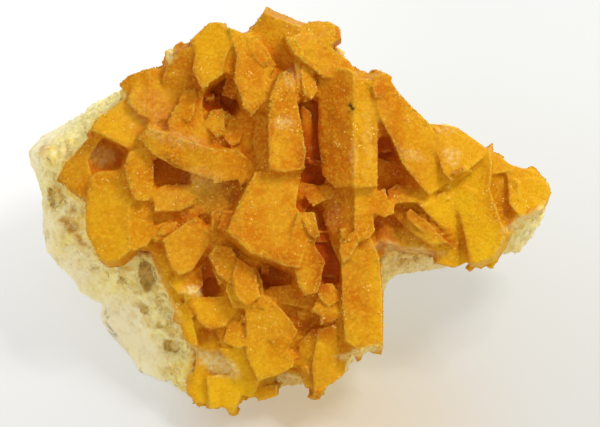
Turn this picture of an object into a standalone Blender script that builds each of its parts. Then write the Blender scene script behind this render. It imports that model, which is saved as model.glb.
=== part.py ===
"""Smithsonite blades grown together in one crust on a block of dolomite matrix.

The crystals are laid out on the growth face, the side of the rock that they cover. It has its own
axes, in millimetres: u runs to the right across the face, v runs up it and w stands out from it.
The last step leans the face back and sets the block on the flat break under it.
"""

import math
from typing import NamedTuple

import bmesh
import bpy
from mathutils import Matrix, Vector, noise
from mathutils.bvhtree import BVHTree

MM = 0.001

# How the block rests: the face's normal rises this far above level, and the flat break under the
# block passes this far below the middle of the face.
FACE_RISE = math.radians(50)
BREAK_DROP = 25.0

# The crust's underside stays this far above the matrix that it grew on.
CONTACT_GAP = 0.32

# The floor of the crust between the blades stands this far above the matrix.
FLOOR_THICKNESS = 3.2

# Crystals are this much wider at their roots than at their faces.
ROOT_SPREAD = 1.12

# The matrix under the crust: how far it lies behind the face's middle, and at the crust's edge.
SEAT_MIDDLE = -9.0
SEAT_EDGE = -7.5

# Lines of points round the block, and the rings of points that they make: shares of the way to the
# crust's edge under the crust, shares of the wall's width beside it, and degrees round the back.
COLUMNS = 84
SEAT_SHARES = (0.3, 0.6, 0.85)
WALL_SHARES = (0.0, 0.2, 0.4, 0.6, 0.8, 1.0)
BACK_TURNS = (12, 25, 38, 50, 62, 74, 83)
FLOOR_SHARES = (0.3, 0.55, 0.8, 0.95)

# The wall beside the crust: how far it starts behind the crust's edge, how far it falls over its
# gentle inner part and over its steep outer part, and where the one turns into the other.
WALL_INSET = 0.8
WALL_RISE = 1.2
WALL_GENTLE_FALL = 2.6
WALL_STEEP_FALL = 6.1
WALL_BEND = 0.6

# The block's widest outline, in w, and its thickness behind that under the arm and the body.
WIDEST = -15.0
ARM_DEPTH = 5.5
BODY_DEPTH = 30.0

# Height of the steps that the back of the block breaks into.
LEDGE_STEP = 3.2

# Points nearer than this are one point.
MERGE = 0.003

# Flat faces where the block broke away from the rock, as a point on each and the way it faces.
# These are in millimetres with the block as it rests, x to the right, y to the back, z up.
BREAKS = [
    ((0, 0, 0), (0, 0, -1)),
    ((-4, 29.5, 18), (-0.12, 1, 0.1)),
    ((-29, 24, 12), (-0.52, 0.84, -0.12)),
    ((9, 28, 14), (0.34, 0.93, -0.12)),
    ((-31.5, 2, 5), (-0.8, 0.1, -0.6)),
    ((21, 8, 4.5), (0.5, 0.05, -0.86)),
    ((-6, 28, 34), (0.1, 0.72, 0.68)),
    ((-10, 27, 4), (-0.2, 0.75, -0.62)),
]

# Hollows in the wall beside the crystals: u, v, half width, half height, depth.
PITS = [
    (-33.2, 2.6, 1.2, 1.8, 1.5), (-30.7, 0.6, 0.6, 0.6, 0.8), (-20.4, -8.4, 0.9, 1.9, 1.5),
    (-23.4, -9.2, 0.6, 1.1, 0.9), (-20.7, -13, 1, 0.7, 0.9), (-17, -18.6, 1.3, 1, 1),
    (-27.4, -7.8, 0.7, 1.5, 0.9), (-18.4, -15.6, 0.6, 0.9, 0.8),
]

# Corners of the block as seen from the front of the face, clockwise from the far left corner.
BLOCK_OUTLINE = [
    (-36.7, 9.5), (-34, 11), (-30.8, 13.3), (-28, 15.4), (-25, 17.5), (-22.4, 19), (-18, 20),
    (-14.7, 21.4), (-11.9, 23.8), (-7, 24.2), (-3.5, 25.9), (0, 25.6), (3.5, 25.6), (5.9, 24.8),
    (6.8, 22.4), (8.7, 20), (11.2, 18.9), (13.2, 18.3), (15.4, 15.5), (17.2, 14.1), (19.2, 13),
    (21, 12.3), (23.4, 12.5), (25.9, 10.4), (28, 8.8), (30.1, 7.1), (34.4, 5.7), (35.7, 4.6),
    (36.3, 2.8), (35.7, 0.7), (35.7, -1), (34.6, -1.8), (33.6, -3.5), (32.5, -4.6), (30.8, -5.7),
    (29, -6.3), (26.6, -6.6), (24.2, -6.7), (21.7, -8), (17, -8.8), (15.4, -9.1), (14, -10.2),
    (13, -11.9), (12.6, -16.8), (12.7, -18.2), (10.5, -20.3), (8.4, -21.4), (7.4, -23.5),
    (4.5, -24.2), (0, -24.3), (-4, -24.8), (-7.3, -26.2), (-11.6, -26.3), (-15.7, -25.5),
    (-18.9, -24.1), (-21, -22.7), (-21.8, -20.6), (-24.6, -18.2), (-25.8, -16.1), (-26.5, -12.6),
    (-28, -12.2), (-30.1, -9.5), (-32.6, -6.9), (-34.3, -5.3), (-35, -3.5), (-34.7, -0.7),
    (-35, 2.1), (-35.9, 6.3),
]

# The edge of the area that the crystals cover, the same way round.
CRUST_OUTLINE = [
    (-31.5, 7.2), (-27.5, 12), (-26.5, 14), (-23.3, 17.2), (-22.5, 19.2), (-17.4, 20.6),
    (-14.7, 22), (-12, 24.2), (-7, 24.4), (-3.8, 26.3), (1.4, 26), (6.2, 25.2), (8.7, 20.4),
    (11.2, 19.2), (13.2, 18.8), (16.4, 15), (19.3, 12.6), (23.5, 12), (27.7, 8.8), (31.5, 6.6),
    (34.2, 5.6), (35.2, 4.2), (35, 1.6), (32.2, -0.6), (30.2, -2.8), (29, -5), (26.6, -6.5),
    (25.2, -6.6), (22.4, -6.6), (18.2, -4.6), (15.4, -4.3), (13.4, -6), (12.7, -12), (12.6, -17.8),
    (9.8, -19), (7.4, -22.2), (4.2, -24.2), (1.2, -23.2), (-3, -23.4), (-5.9, -24.8),
    (-8, -26.2), (-11.5, -26), (-14, -25), (-14.6, -22.8), (-13.8, -17.5), (-14.2, -13),
    (-16.5, -10.5), (-17.5, -6.6), (-20, -5), (-24, -6.6), (-26.9, -6), (-28.6, -2), (-28.6, 2),
    (-31.4, 4.5),
]


class Blade(NamedTuple):
    """A flat crystal face and the crystal behind it.

    outline: corners of the face, as (u, v).  out: how far its middle stands out, in w.
    right, up: how far the face is turned to the right and up the growth face, in degrees.
    deep: how far the crystal runs back, halfway between square to its face and straight down.
    """

    outline: list
    out: float
    right: float
    up: float
    deep: float


BLADES = {
    # Crown, left to right
    "left tower": Blade(
        [(-12.6, 25.8), (-11.3, 27), (-9.7, 27), (-8.1, 24.2), (-9, 22.1), (-9.5, 19.6),
         (-11.2, 18.6), (-12.2, 17.5), (-13.7, 20.3), (-13.2, 23.4), (-14, 24.4)],
        0.6, -8, 12, 6),
    "tower shoulder": Blade(
        [(-17, 21.4), (-15.4, 23.1), (-13.2, 23.7), (-12.9, 18.9), (-12.2, 17.2), (-13.2, 15.5),
         (-14.8, 16.1), (-16.8, 16.8), (-18, 18.9)],
        -1.4, -14, -12, 6),
    "shoulder tip": Blade(
        [(-17.8, 20), (-17.5, 23.1), (-16.1, 23.4), (-15, 20.5)], -2.8, -10, 10, 5),
    "upper left plate": Blade(
        [(-22.4, 17.3), (-20.6, 19.8), (-17.4, 20.9), (-15.5, 18.6), (-14, 15.6), (-16.5, 14),
         (-18.6, 13), (-21, 14), (-22.8, 15.8)],
        -2.2, 4, 16, 5),
    "upper left corner": Blade(
        [(-23.9, 18.4), (-22.7, 19.6), (-19.4, 20.7), (-19.8, 17.6), (-22.4, 15.9)],
        -2.8, -16, 8, 4),
    "crown left blade": Blade(
        [(-8.6, 26.2), (-6.2, 25.4), (-4.5, 25.1), (-3.2, 23.4), (-2, 20.9), (-2.8, 19.7),
         (-3, 17.8), (-3.4, 16.1), (-5.2, 14), (-6.4, 15), (-7, 17.2), (-7.8, 18.9), (-7.4, 22.4)],
        1, 12, 8, 6),
    "crown top blade": Blade(
        [(-3.6, 28.8), (-1.4, 28), (1.4, 26.7), (2, 23.1), (1, 19.2), (-2.6, 19.2),
         (-3.6, 22.4), (-5.7, 25.9), (-4.9, 26.6)],
        -0.8, -10, -8, 6),
    "crown bar": Blade(
        [(0.8, 26.7), (2.8, 27.3), (5.6, 27.1), (6.9, 26.3), (7.1, 24.9), (5.7, 23.8), (3, 23.2),
         (0.8, 24)],
        -0.4, 6, 14, 5),
    "crown diagonal blade": Blade(
        [(-0.6, 25), (1.4, 25.1), (5.6, 23.5), (7, 22.4), (9.5, 21), (8.7, 19.4), (6.6, 18.9),
         (4.6, 19.4), (2.5, 20.9), (0.8, 22.3)],
        0.3, 14, 12, 6),
    "crown inner face": Blade(
        [(0.6, 21.8), (3.1, 21.4), (3.9, 20), (3.9, 16.8), (2.2, 15.8), (1.2, 17.5)],
        -0.4, 24, 2, 5),
    # Middle, top to bottom
    "long middle blade": Blade(
        [(-1.4, 19.7), (-0.4, 20), (0.6, 17.9), (1.4, 14), (2.2, 9.1), (2, 6.4), (-0.7, 6),
         (-2.8, 6.4), (-3, 11.9), (-2.7, 16.8)],
        2, 14, 4, 6),
    "middle blade side": Blade(
        [(-4.8, 14.6), (-3.6, 15.6), (-2.2, 15.4), (-2.2, 6.4), (-4.4, 6.6), (-5.2, 10)],
        0.4, -30, 0, 5),
    "sugary knob": Blade(
        [(-7.8, 13.2), (-6.6, 15.6), (-4.8, 15.3), (-4.3, 11), (-5.4, 7.8), (-7.4, 8.6)],
        -1.2, -12, -6, 5),
    "gap blade left": Blade([(2, 17), (3.9, 17), (4.6, 9), (3.4, 7.8), (2.1, 9)], -2.8, 14, 0, 4),
    "tall left face": Blade(
        [(3.9, 17.5), (4.2, 19.4), (6.2, 20.6), (9, 20.4), (9.15, 4.2), (6.3, 3.9), (4.5, 5.6),
         (3.9, 10.5)],
        0.5, -28, 2, 6),
    "tall right face": Blade(
        [(9.05, 19.3), (11.5, 19.5), (12.3, 16.8), (12.2, 4), (9.05, 3.8)], 1.6, 14, 2, 6),
    "big front plate": Blade(
        [(-4.8, 6), (1.4, 6.9), (1.4, 4.9), (1, 2.8), (0.8, 1.1), (1.6, 0.2), (2.6, -3), (1.4, -7.4),
         (-0.7, -7.1), (-2.8, -6.2), (-5.6, -5.2), (-7, -3.8), (-8.8, -2.4), (-8.1, -0.4),
         (-6.2, 3.5)],
        1.8, 8, 8, 6),
    "front plate lobe": Blade(
        [(1.1, 0.4), (2.8, -1), (4.2, -3.1), (3.4, -3.8), (3.9, -4.9), (4.9, -6.6), (4.6, -7.7),
         (4.2, -9.8), (3.8, -10.8), (2.1, -11.3), (1.2, -9.8), (0.6, -7.2), (0.2, -3.5)],
        1, 20, -4, 6),
    "small triangle": Blade(
        [(1.2, 4.7), (6.3, 3.8), (4.9, 2.1), (3.2, 1.3), (1.6, 3.2)], -1, 0, 20, 4),
    "channel blade": Blade([(3.2, 1.6), (5, 1), (5.2, -3), (4, -3.4), (2.4, -0.6)], -2.8, 12, 4, 4),
    "inner blade": Blade(
        [(6, 4.2), (9.5, 4.4), (9.3, -2.1), (8.6, -6.2), (7.1, -7), (6.6, -6), (5.6, -3.5),
         (4.5, 0), (5.4, 2.8)],
        -0.5, -28, 2, 5),
    "inner blade foot": Blade(
        [(7, -2), (9.3, -1.6), (9.1, -5.4), (7.4, -7.8), (6.9, -6)], 0.2, 4, -6, 5),
    "right step": Blade(
        [(9.2, 4.3), (11.9, 4.3), (12.6, 2.8), (14.6, 1.7), (14.6, 0.3), (13.3, -0.3), (11.6, 0.4),
         (11.9, -2.1), (11.2, -3.2), (9.8, -3.8), (9, -2.1), (9, 1.4)],
        0.4, 14, 4, 5),
    # Right wing and arm
    "right blade": Blade(
        [(11.8, 19.9), (13.3, 20.3), (14.3, 18.6), (15.8, 16.4), (17.2, 15), (19.2, 13.2), (21, 10.5),
         (22.1, 7.7), (22.7, 5), (19.6, 2.8), (17.9, 4.5), (15.7, 7.3), (14.3, 10.5), (12.6, 13.6),
         (11.9, 16.8)],
        0.4, 18, 4, 6),
    "right blade inner face": Blade(
        [(12, 15), (14.2, 11), (15.8, 7.4), (17.8, 4.6), (16, 4), (13, 6), (12.2, 9)],
        -2.6, -30, -6, 4),
    "right facet": Blade(
        [(19.8, 12.8), (23.4, 12.4), (25.9, 10.6), (27.7, 9.2), (27, 8.1), (25.2, 6.6), (22.6, 4.8),
         (21.4, 6), (20.6, 8.8)],
        -0.5, 4, 22, 5),
    "arm blade": Blade(
        [(26.2, 8), (28, 9.2), (28.3, 7), (28, 3.5), (29.4, -0.4), (30.1, -2.4), (29.7, -3.5),
         (28.4, -6), (26.6, -7.3), (25.2, -6.9), (24.6, -3.5), (23.6, 0.7), (22.3, 4.4), (24.5, 6.2)],
        -1.2, -8, 0, 6),
    "arm valley": Blade(
        [(27.6, 8.2), (30.4, 7.6), (31, 2), (31.6, -1.6), (29.6, -4), (27.8, 0.7)], -2.8, 28, 2, 5),
    "arm ridge": Blade([(27.4, 9.5), (30.1, 7.9), (31.4, 6.3), (28, 5.6)], -2.6, 10, 24, 4),
    "arm tip": Blade(
        [(30.1, 7.6), (31.5, 6.9), (34.2, 6.2), (35.7, 4.6), (35.8, 2.8), (35, 1), (32.2, -0.3),
         (30.7, 1.6), (30.6, 4.9)],
        -2.6, 12, 12, 5),
    "arm tip inner face": Blade(
        [(30.8, 5.6), (32, 4.6), (32, 0.4), (31.2, -1.4), (29.8, -1.6), (29.8, 3)], -2.6, -36, 0, 4),
    "shelf blade": Blade(
        [(13.6, 3.4), (14.9, 4.3), (18.2, 3.8), (22.8, 3.2), (22.4, 2.2), (18.4, 1.8), (14.4, 1.7)],
        -1.2, 0, 24, 5),
    "above the shelf": Blade(
        [(12.4, 8), (15, 7), (18, 4.6), (20, 3.4), (14.8, 3.2), (12.4, 4.2)], -2.6, 6, -22, 4),
    "under shelf": Blade(
        [(18.2, 1.4), (21, 2.2), (23.7, 1.6), (24.8, -2.8), (25.4, -4.9), (23.1, -3.9),
         (20.8, -1.4)],
        -2, 22, -10, 5),
    "notch ridge": Blade(
        [(14.2, 1.9), (17.1, 1.2), (19.2, -1.2), (22.2, -3.9), (19.6, -4.1), (17.5, -2.8),
         (15.4, -1), (14.2, 0.3)],
        -1.6, -16, 16, 5),
    "notch floor": Blade(
        [(12, 0.2), (14.8, 0.6), (17.4, -2.2), (20, -4), (21.2, -5), (16, -4.6), (12.4, -3.6)],
        -3.4, 4, 14, 4),
    "notch grain": Blade([(15.6, -2), (17.5, -2.1), (18, -4.4), (16, -4.6)], -2.8, -4, 6, 4),
    "arm foot": Blade(
        [(20.6, -4), (23.8, -3.8), (25.4, -6.4), (23.1, -7.4), (20.6, -6.8)], -3.2, 6, -6, 4),
    # Left side
    "left plate": Blade(
        [(-28, 11.9), (-26.9, 13.6), (-24.9, 15), (-23.1, 16.4), (-19.4, 13.8), (-20.8, 10),
         (-22.8, 9.4), (-25.2, 10.7), (-27, 11.6)],
        -1.9, 4, 14, 5),
    "left plate under face": Blade(
        [(-25.6, 11), (-22.8, 9.8), (-20.4, 10.8), (-20.8, 8.8), (-22.8, 8.2)], -2.6, 4, -36, 3.5),
    "left rim": Blade(
        [(-27.3, 12), (-31.5, 7), (-32.2, 5.2), (-30.8, 3.5), (-28.6, 2.1), (-27.8, 4.9),
         (-28.4, 7.7), (-26.6, 10.6)],
        -3.8, -22, 6, 4),
    "far left plate": Blade(
        [(-28, 5.2), (-27, 6), (-23.1, 6.4), (-22, 3), (-22.6, 0), (-22.4, -4.9), (-24.1, -6.3),
         (-25.9, -6.6), (-26.9, -6), (-27.7, -4.2), (-28.6, -2.1), (-28.6, 2.1)],
        -1.6, -12, 4, 5),
    "far left plate wing": Blade(
        [(-22.8, 5.4), (-21, 5.2), (-19.6, 2.1), (-19.2, 0), (-19.3, -2.8), (-20, -4.3),
         (-22.6, -4.9), (-23, 0)],
        -1.7, 10, 2, 5),
    "left thumb": Blade(
        [(-22.4, 8.8), (-21, 9.3), (-19.6, 8.8), (-19.1, 7), (-19.1, 4.2), (-19.9, 2), (-21.7, 2.1),
         (-22.8, 4.9), (-23.2, 7)],
        -0.4, 14, 0, 5),
    "upright triangle": Blade(
        [(-17.1, 13), (-16, 15.3), (-14, 16.5), (-12.2, 17.3), (-12.2, 12.6), (-11.6, 9.9),
         (-14, 9.5), (-16.3, 10.3)],
        -0.6, 8, 8, 5),
    "long cross plate": Blade(
        [(-21, 10.8), (-19.6, 12.2), (-13.3, 10.1), (-10.3, 9.2), (-9.8, 7.2), (-10.3, 4.7),
         (-13.3, 5.7), (-16.1, 6.7), (-19.3, 8.6)],
        0.6, 0, -10, 5),
    "cross plate tip": Blade(
        [(-10.8, 9.2), (-7.4, 9.2), (-4.5, 6.6), (-6.6, 5), (-10.7, 4.4)], -0.1, 12, -6, 5),
    "behind the cross plate": Blade(
        [(-11.8, 13.2), (-10.9, 14.7), (-9.5, 14.8), (-7.4, 13.4), (-7.2, 8.6), (-11.8, 8.8)],
        -1.2, 8, -8, 5),
    "left block": Blade(
        [(-19.3, 3.5), (-17.5, 4.3), (-13.8, 4.3), (-13.6, 1.4), (-15.7, 0.6), (-18.9, 0.5)],
        -1.3, 6, 14, 4),
    "pit floor blade": Blade([(-19.4, 7.6), (-15, 6.6), (-13, 3.8), (-19, 3.4)], -3, 10, 14, 4),
    "sugary ledge": Blade(
        [(-13.9, 5.6), (-7.6, 5.4), (-7.2, 2.6), (-8.4, 0.6), (-13.5, -0.1)], -2, 4, -20, 4),
    "ledge corner": Blade([(-9, 4.4), (-5.8, 5.6), (-7.4, 0.8), (-9.4, 0.4)], -3.4, 16, 0, 4),
    "kite": Blade(
        [(-17.8, -3.4), (-16.1, -2.2), (-14, -0.7), (-13.2, -0.4), (-12.9, -1.4), (-11.1, -1.4),
         (-10.8, -3.5), (-11.9, -4.9), (-12.9, -6.6), (-13.7, -7.7), (-15.4, -8.4), (-16.5, -7.4),
         (-17.2, -5.6)],
        -1, 8, 6, 5),
    "kite shadow": Blade(
        [(-19.2, 0.6), (-14.4, 0.8), (-12.6, -0.2), (-16, -2), (-19.4, -1.6)], -2.8, 4, -14, 4),
    "small bar": Blade([(-19.6, -1.8), (-16.5, -0.6), (-15.6, -2.4), (-18.9, -3.7)], -1.9, 0, 14, 4),
    "left of the kite": Blade(
        [(-19.6, -3.2), (-17.6, -3.4), (-16.4, -7.2), (-17.6, -8), (-20, -4.4)], -2.8, -10, 6, 4),
    "under the kite": Blade(
        [(-17, -9.4), (-15.1, -7.3), (-12.5, -6.5), (-12.2, -9.8), (-13.3, -11.1),
         (-15.7, -11)],
        -2, 0, 18, 4),
    "rim strip": Blade(
        [(-19.8, -5), (-18.2, -5), (-15.6, -11.6), (-13.6, -15), (-13, -18.4), (-14.6, -18),
         (-16.6, -12.4), (-18.8, -7.6)],
        -2.8, -20, 0, 3.5),
    "little wedge": Blade(
        [(-10.9, -4.5), (-9.9, -3.7), (-7.4, -4.7), (-8, -7.6), (-9.8, -9.8), (-10.8, -7.7)],
        -0.8, 14, 2, 5),
    "thumb blade": Blade(
        [(-9, -10.5), (-8.4, -7.4), (-7, -5.6), (-5.3, -6.2), (-3.9, -9.1), (-3.5, -12.2),
         (-4.9, -12.9), (-7.9, -12.9)],
        -0.4, 4, 8, 5),
    "shadow face": Blade(
        [(-11, 0.4), (-8, 1.7), (-7.5, -1.4), (-5.4, -5.4), (-8.1, -5), (-10.8, -3.5)],
        -2, 18, 0, 4),
    # Foot of the face
    "low left plate": Blade(
        [(-14, -11.9), (-12.6, -11.5), (-9.5, -11.4), (-7.2, -12.6), (-7.6, -13.6), (-9.1, -15.5),
         (-11.2, -16.1), (-12.8, -15)],
        -1.4, 0, 14, 4),
    "low middle plate": Blade(
        [(-6.3, -11.9), (-3.9, -11.7), (-2.5, -12), (-1.4, -13), (0.3, -15), (1.1, -16.4),
         (-0.4, -18.9), (0.6, -20.6), (0.4, -21.3), (-1.7, -22.5), (-3.2, -22.8), (-4.4, -23.4),
         (-6, -20), (-6.1, -16.1)],
        -1.3, 10, -6, 5),
    "low middle step": Blade(
        [(-10.6, -15.6), (-8.4, -13.4), (-7, -12.3), (-5.7, -12.2), (-5.8, -18.6),
         (-9.5, -18.5)],
        -1.7, -8, 2, 4),
    "pit edge plate": Blade(
        [(-13.4, -15.4), (-11, -16.2), (-9.4, -18), (-8.8, -19.6), (-12, -18.8), (-13.2, -17.6)],
        -3, -14, -10, 4),
    "low middle foot": Blade(
        [(-9.8, -18.9), (-5.8, -18.5), (-4, -23), (-5.4, -25.8), (-7.6, -24.9), (-7.8, -22)],
        -2.6, 0, -20, 4),
    "low shadow face": Blade(
        [(-2.8, -10), (0, -9.8), (3.9, -11.3), (3.8, -13.4), (0, -12.6), (-2.7, -12.2)],
        -1.8, 6, 4, 4),
    "under the lobe": Blade([(-4, -6.4), (0.6, -7.2), (1.6, -10.6), (-2.6, -10.4)], -3.2, 0, 6, 4),
    "low triangle": Blade(
        [(5.2, -9.5), (6.1, -9.6), (7.6, -11.9), (8.5, -14.2), (5.6, -14.7), (3.1, -13.4),
         (4.5, -10.2)],
        -0.8, 6, 10, 5),
    "low recess blade": Blade(
        [(1, -13.6), (4, -14), (8.4, -15), (7.6, -16.6), (3, -16.4), (1.2, -15.4)], -3.2, 4, -18, 4),
    "tall low plate": Blade(
        [(7.2, -6.6), (9.5, -4.3), (11.5, -3.4), (12.4, -5.7), (12.9, -10.5), (13, -18.8),
         (10.1, -19.4), (7.7, -17.6), (7.3, -11.9)],
        -0.2, 12, 0, 6),
    "tall low plate edge": Blade(
        [(12, -5), (12.8, -7), (13.1, -12), (13.1, -18), (11.8, -18.4), (11.6, -8)],
        -1.8, 36, 0, 4),
    "low right plate left": Blade(
        [(1.1, -18.2), (3.1, -16), (4.4, -16.2), (4, -20), (3.2, -24.2), (2.1, -24.2),
         (1.3, -22)],
        -2.5, -16, -8, 4),
    "low right plate": Blade(
        [(4, -16), (6.4, -15.4), (6.8, -19), (5.6, -23.6), (4.5, -25.3), (3.4, -25.4),
         (3.1, -21)],
        -1.8, 4, -10, 5),
    "low right plate right": Blade(
        [(6, -15.6), (7.8, -15.6), (8.4, -18.4), (7.6, -22.4), (6, -23.7), (5.2, -23)],
        -2.4, 18, -6, 4),
    "foot grains": Blade([(-5.4, -24.4), (-1.8, -23.8), (-1.8, -25.6), (-4.4, -26.2)], -5.4, 0, -8, 4),
    "bottom left": Blade(
        [(-14.4, -22.4), (-12.6, -21.6), (-10.9, -23.1), (-11.3, -26.5), (-13.3, -25.9),
         (-14.6, -24.2)],
        -4.2, -12, 0, 4),
    "bottom middle": Blade(
        [(-11.7, -22.8), (-9.4, -22.3), (-8.9, -25.9), (-9.5, -27), (-11.3, -27.2)],
        -3.6, 14, -6, 4),
    "bottom right": Blade(
        [(-9.8, -22.6), (-7.2, -22.4), (-6.7, -24.8), (-8, -27.9), (-9.4, -27)], -3.5, -6, -4, 4),
}


def reach(outline, angle):
    """How far the outline lies from the face's middle, along a ray at this angle."""
    ray = Vector((math.cos(angle), math.sin(angle)))
    farthest = 0.0
    for index, (u, v) in enumerate(outline):
        start = Vector((u, v))
        side = Vector(outline[(index + 1) % len(outline)]) - start
        spread = ray.cross(side)
        if abs(spread) < 1e-9:
            continue
        along = start.cross(ray) / spread
        if 0 <= along <= 1:
            farthest = max(farthest, start.cross(side) / spread)
    return farthest


def roughness(u, v, w):
    """Lumps and broken ledges of the matrix, in millimetres."""
    place = Vector((u, v, w))
    lumps = noise.noise(place * 0.11 + Vector((3.1, 0.7, 5.2))) * 1.5
    chips = noise.noise(place * 0.33 + Vector((1.3, 8.4, 2.6))) * 0.8
    return lumps + chips


def ledge(w):
    """Pulls a depth towards a set of levels, so that walls break into steps."""
    level = math.floor(w / LEDGE_STEP)
    part = w / LEDGE_STEP - level
    return (level + part * part * (3 - 2 * part)) * LEDGE_STEP


def back_depth(u, v):
    """How thick the block is behind its widest outline: a deep body and a thin arm."""
    across = ((u + 7) / 25) ** 4
    along = ((v + 1) / 27) ** 4
    return ARM_DEPTH + BODY_DEPTH * math.exp(-across - along)


def ring_mesh(rings, name):
    """A closed mesh from rings of (u, v, w) points, each end closed by its first point."""
    shape = bmesh.new()
    loops = []
    for ring in rings:
        loops.append([shape.verts.new(point) for point in ring])
    for near, far in zip(loops[:-1], loops[1:]):
        for index in range(max(len(near), len(far))):
            after = (index + 1) % max(len(near), len(far))
            if len(near) == 1:
                shape.faces.new((near[0], far[index], far[after]))
            elif len(far) == 1:
                shape.faces.new((near[index], far[0], near[after]))
            else:
                shape.faces.new((near[index], far[index], far[after], near[after]))
    bmesh.ops.recalc_face_normals(shape, faces=shape.faces)
    mesh = bpy.data.meshes.new(name)
    shape.to_mesh(mesh)
    shape.free()
    return mesh


def column_angles():
    return [2 * math.pi * column / COLUMNS for column in range(COLUMNS)]


def seat(share):
    """Depth of the matrix under the crust, at this share of the way to the crust's edge."""
    return SEAT_MIDDLE + (SEAT_EDGE - SEAT_MIDDLE) * share**2


def wall_drop(share):
    """How far the wall has fallen at this share of its width: gently at first, then steeply."""
    gentle = min(share, WALL_BEND) / WALL_BEND
    steep = max(share - WALL_BEND, 0) / (1 - WALL_BEND)
    return WALL_GENTLE_FALL * gentle + WALL_STEEP_FALL * steep**1.3


def block_rings():
    """The block's rings: the seat under the crust, the walls around it, then the back."""
    rings = [[(0, 0, seat(0))]]
    for share in SEAT_SHARES:
        ring = []
        for angle in column_angles():
            radius = reach(CRUST_OUTLINE, angle) * share
            ring.append((radius * math.cos(angle), radius * math.sin(angle), seat(share)))
        rings.append(ring)
    for share in WALL_SHARES:
        ring = []
        for angle in column_angles():
            inner = reach(CRUST_OUTLINE, angle) - WALL_INSET
            outer = max(reach(BLOCK_OUTLINE, angle), inner + 0.3)
            radius = inner + (outer - inner) * share
            u = radius * math.cos(angle)
            v = radius * math.sin(angle)
            w = SEAT_EDGE + WALL_RISE - wall_drop(share)
            swell = roughness(u, v, w) * min(1.0, 2 * share) * 0.8 if outer - inner > 2 else 0
            grown = radius + swell * 0.5
            rise = swell * 0.7
            ring.append((grown * math.cos(angle), grown * math.sin(angle), w + rise))
        rings.append(ring)
    for turn in BACK_TURNS:
        lean = math.radians(turn)
        ring = []
        for angle in column_angles():
            radius = max(reach(BLOCK_OUTLINE, angle), reach(CRUST_OUTLINE, angle) - 0.5)
            radius *= math.cos(lean) ** 0.6
            u = radius * math.cos(angle)
            v = radius * math.sin(angle)
            w = WIDEST - back_depth(u, v) * math.sin(lean) ** 0.9
            grown = radius + roughness(u, v, w)
            ring.append((grown * math.cos(angle), grown * math.sin(angle), ledge(w)))
        rings.append(ring)
    rings.append([(0, 0, WIDEST - back_depth(0, 0))])
    return rings


def break_off(mesh, point, outward):
    """Splits away all that lies past a plane, leaving a flat broken face."""
    shape = bmesh.new()
    shape.from_mesh(mesh)
    cut = bmesh.ops.bisect_plane(
        shape,
        geom=shape.verts[:] + shape.edges[:] + shape.faces[:],
        plane_co=Vector(point),
        plane_no=Vector(outward),
        clear_outer=True,
    )
    rim = [item for item in cut["geom_cut"] if isinstance(item, bmesh.types.BMEdge)]
    if rim:
        bmesh.ops.contextual_create(shape, geom=rim)
    bmesh.ops.recalc_face_normals(shape, faces=shape.faces)
    shape.to_mesh(mesh)
    shape.free()


def pit_mesh(mesh, pit):
    """A rough hollow sunk into the wall where a line along w first meets the block."""
    u, v, half_width, half_height, depth = pit
    tree = BVHTree.FromPolygons(
        [vert.co for vert in mesh.vertices], [face.vertices for face in mesh.polygons])
    place, square, index, distance = tree.ray_cast(Vector((u, v, 30)), Vector((0, 0, -1)))
    shape = bmesh.new()
    bmesh.ops.create_icosphere(shape, subdivisions=1, radius=1)
    for vert in shape.verts:
        jog = 1 + 0.3 * noise.noise(vert.co * 1.3 + Vector((u, v, 0)))
        vert.co = Vector((vert.co.x * half_width, vert.co.y * half_height, vert.co.z * depth)) * jog
    bmesh.ops.transform(shape, matrix=Matrix.Translation(place + square * depth * 0.25),
                        verts=shape.verts)
    hollow = bpy.data.meshes.new("pit")
    shape.to_mesh(hollow)
    shape.free()
    return hollow


def settle(mesh):
    """Leans the growth face back from level and brings millimetres to metres."""
    lean = Matrix.Rotation(math.pi / 2 - FACE_RISE, 4, "X")
    mesh.transform(Matrix.Scale(MM, 4) @ Matrix.Translation((0, 0, BREAK_DROP)) @ lean)


def swollen(mesh, gap):
    """A copy of the mesh with its surface moved out by the gap."""
    copy = mesh.copy()
    shape = bmesh.new()
    shape.from_mesh(copy)
    shape.normal_update()
    moves = [vert.normal * (gap * min(vert.calc_shell_factor(), 1.5)) for vert in shape.verts]
    for vert, move in zip(shape.verts, moves):
        vert.co += move
    shape.to_mesh(copy)
    shape.free()
    return copy


def blade_mesh(name, blade):
    """The crystal behind one face: the face and its copy further back, joined by flat sides."""
    middle_u = sum(u for u, v in blade.outline) / len(blade.outline)
    middle_v = sum(v for u, v in blade.outline) / len(blade.outline)
    slope_u = math.tan(math.radians(blade.right))
    slope_v = math.tan(math.radians(blade.up))
    square = Vector((slope_u, slope_v, 1)).normalized()
    back = (square + Vector((0, 0, 1))).normalized() * -blade.deep
    middle = Vector((middle_u, middle_v, blade.out))
    shape = bmesh.new()
    front_ring = []
    back_ring = []
    for u, v in blade.outline:
        w = blade.out - slope_u * (u - middle_u) - slope_v * (v - middle_v)
        corner = Vector((u, v, w))
        front_ring.append(shape.verts.new(corner))
        back_ring.append(shape.verts.new(middle + (corner - middle) * ROOT_SPREAD + back))
    shape.faces.new(front_ring)
    shape.faces.new(back_ring[::-1])
    for index in range(len(front_ring)):
        after = (index + 1) % len(front_ring)
        side = (front_ring[index], back_ring[index], back_ring[after], front_ring[after])
        shape.faces.new(side)
    bmesh.ops.recalc_face_normals(shape, faces=shape.faces)
    mesh = bpy.data.meshes.new(name)
    shape.to_mesh(mesh)
    shape.free()
    return mesh


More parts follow.
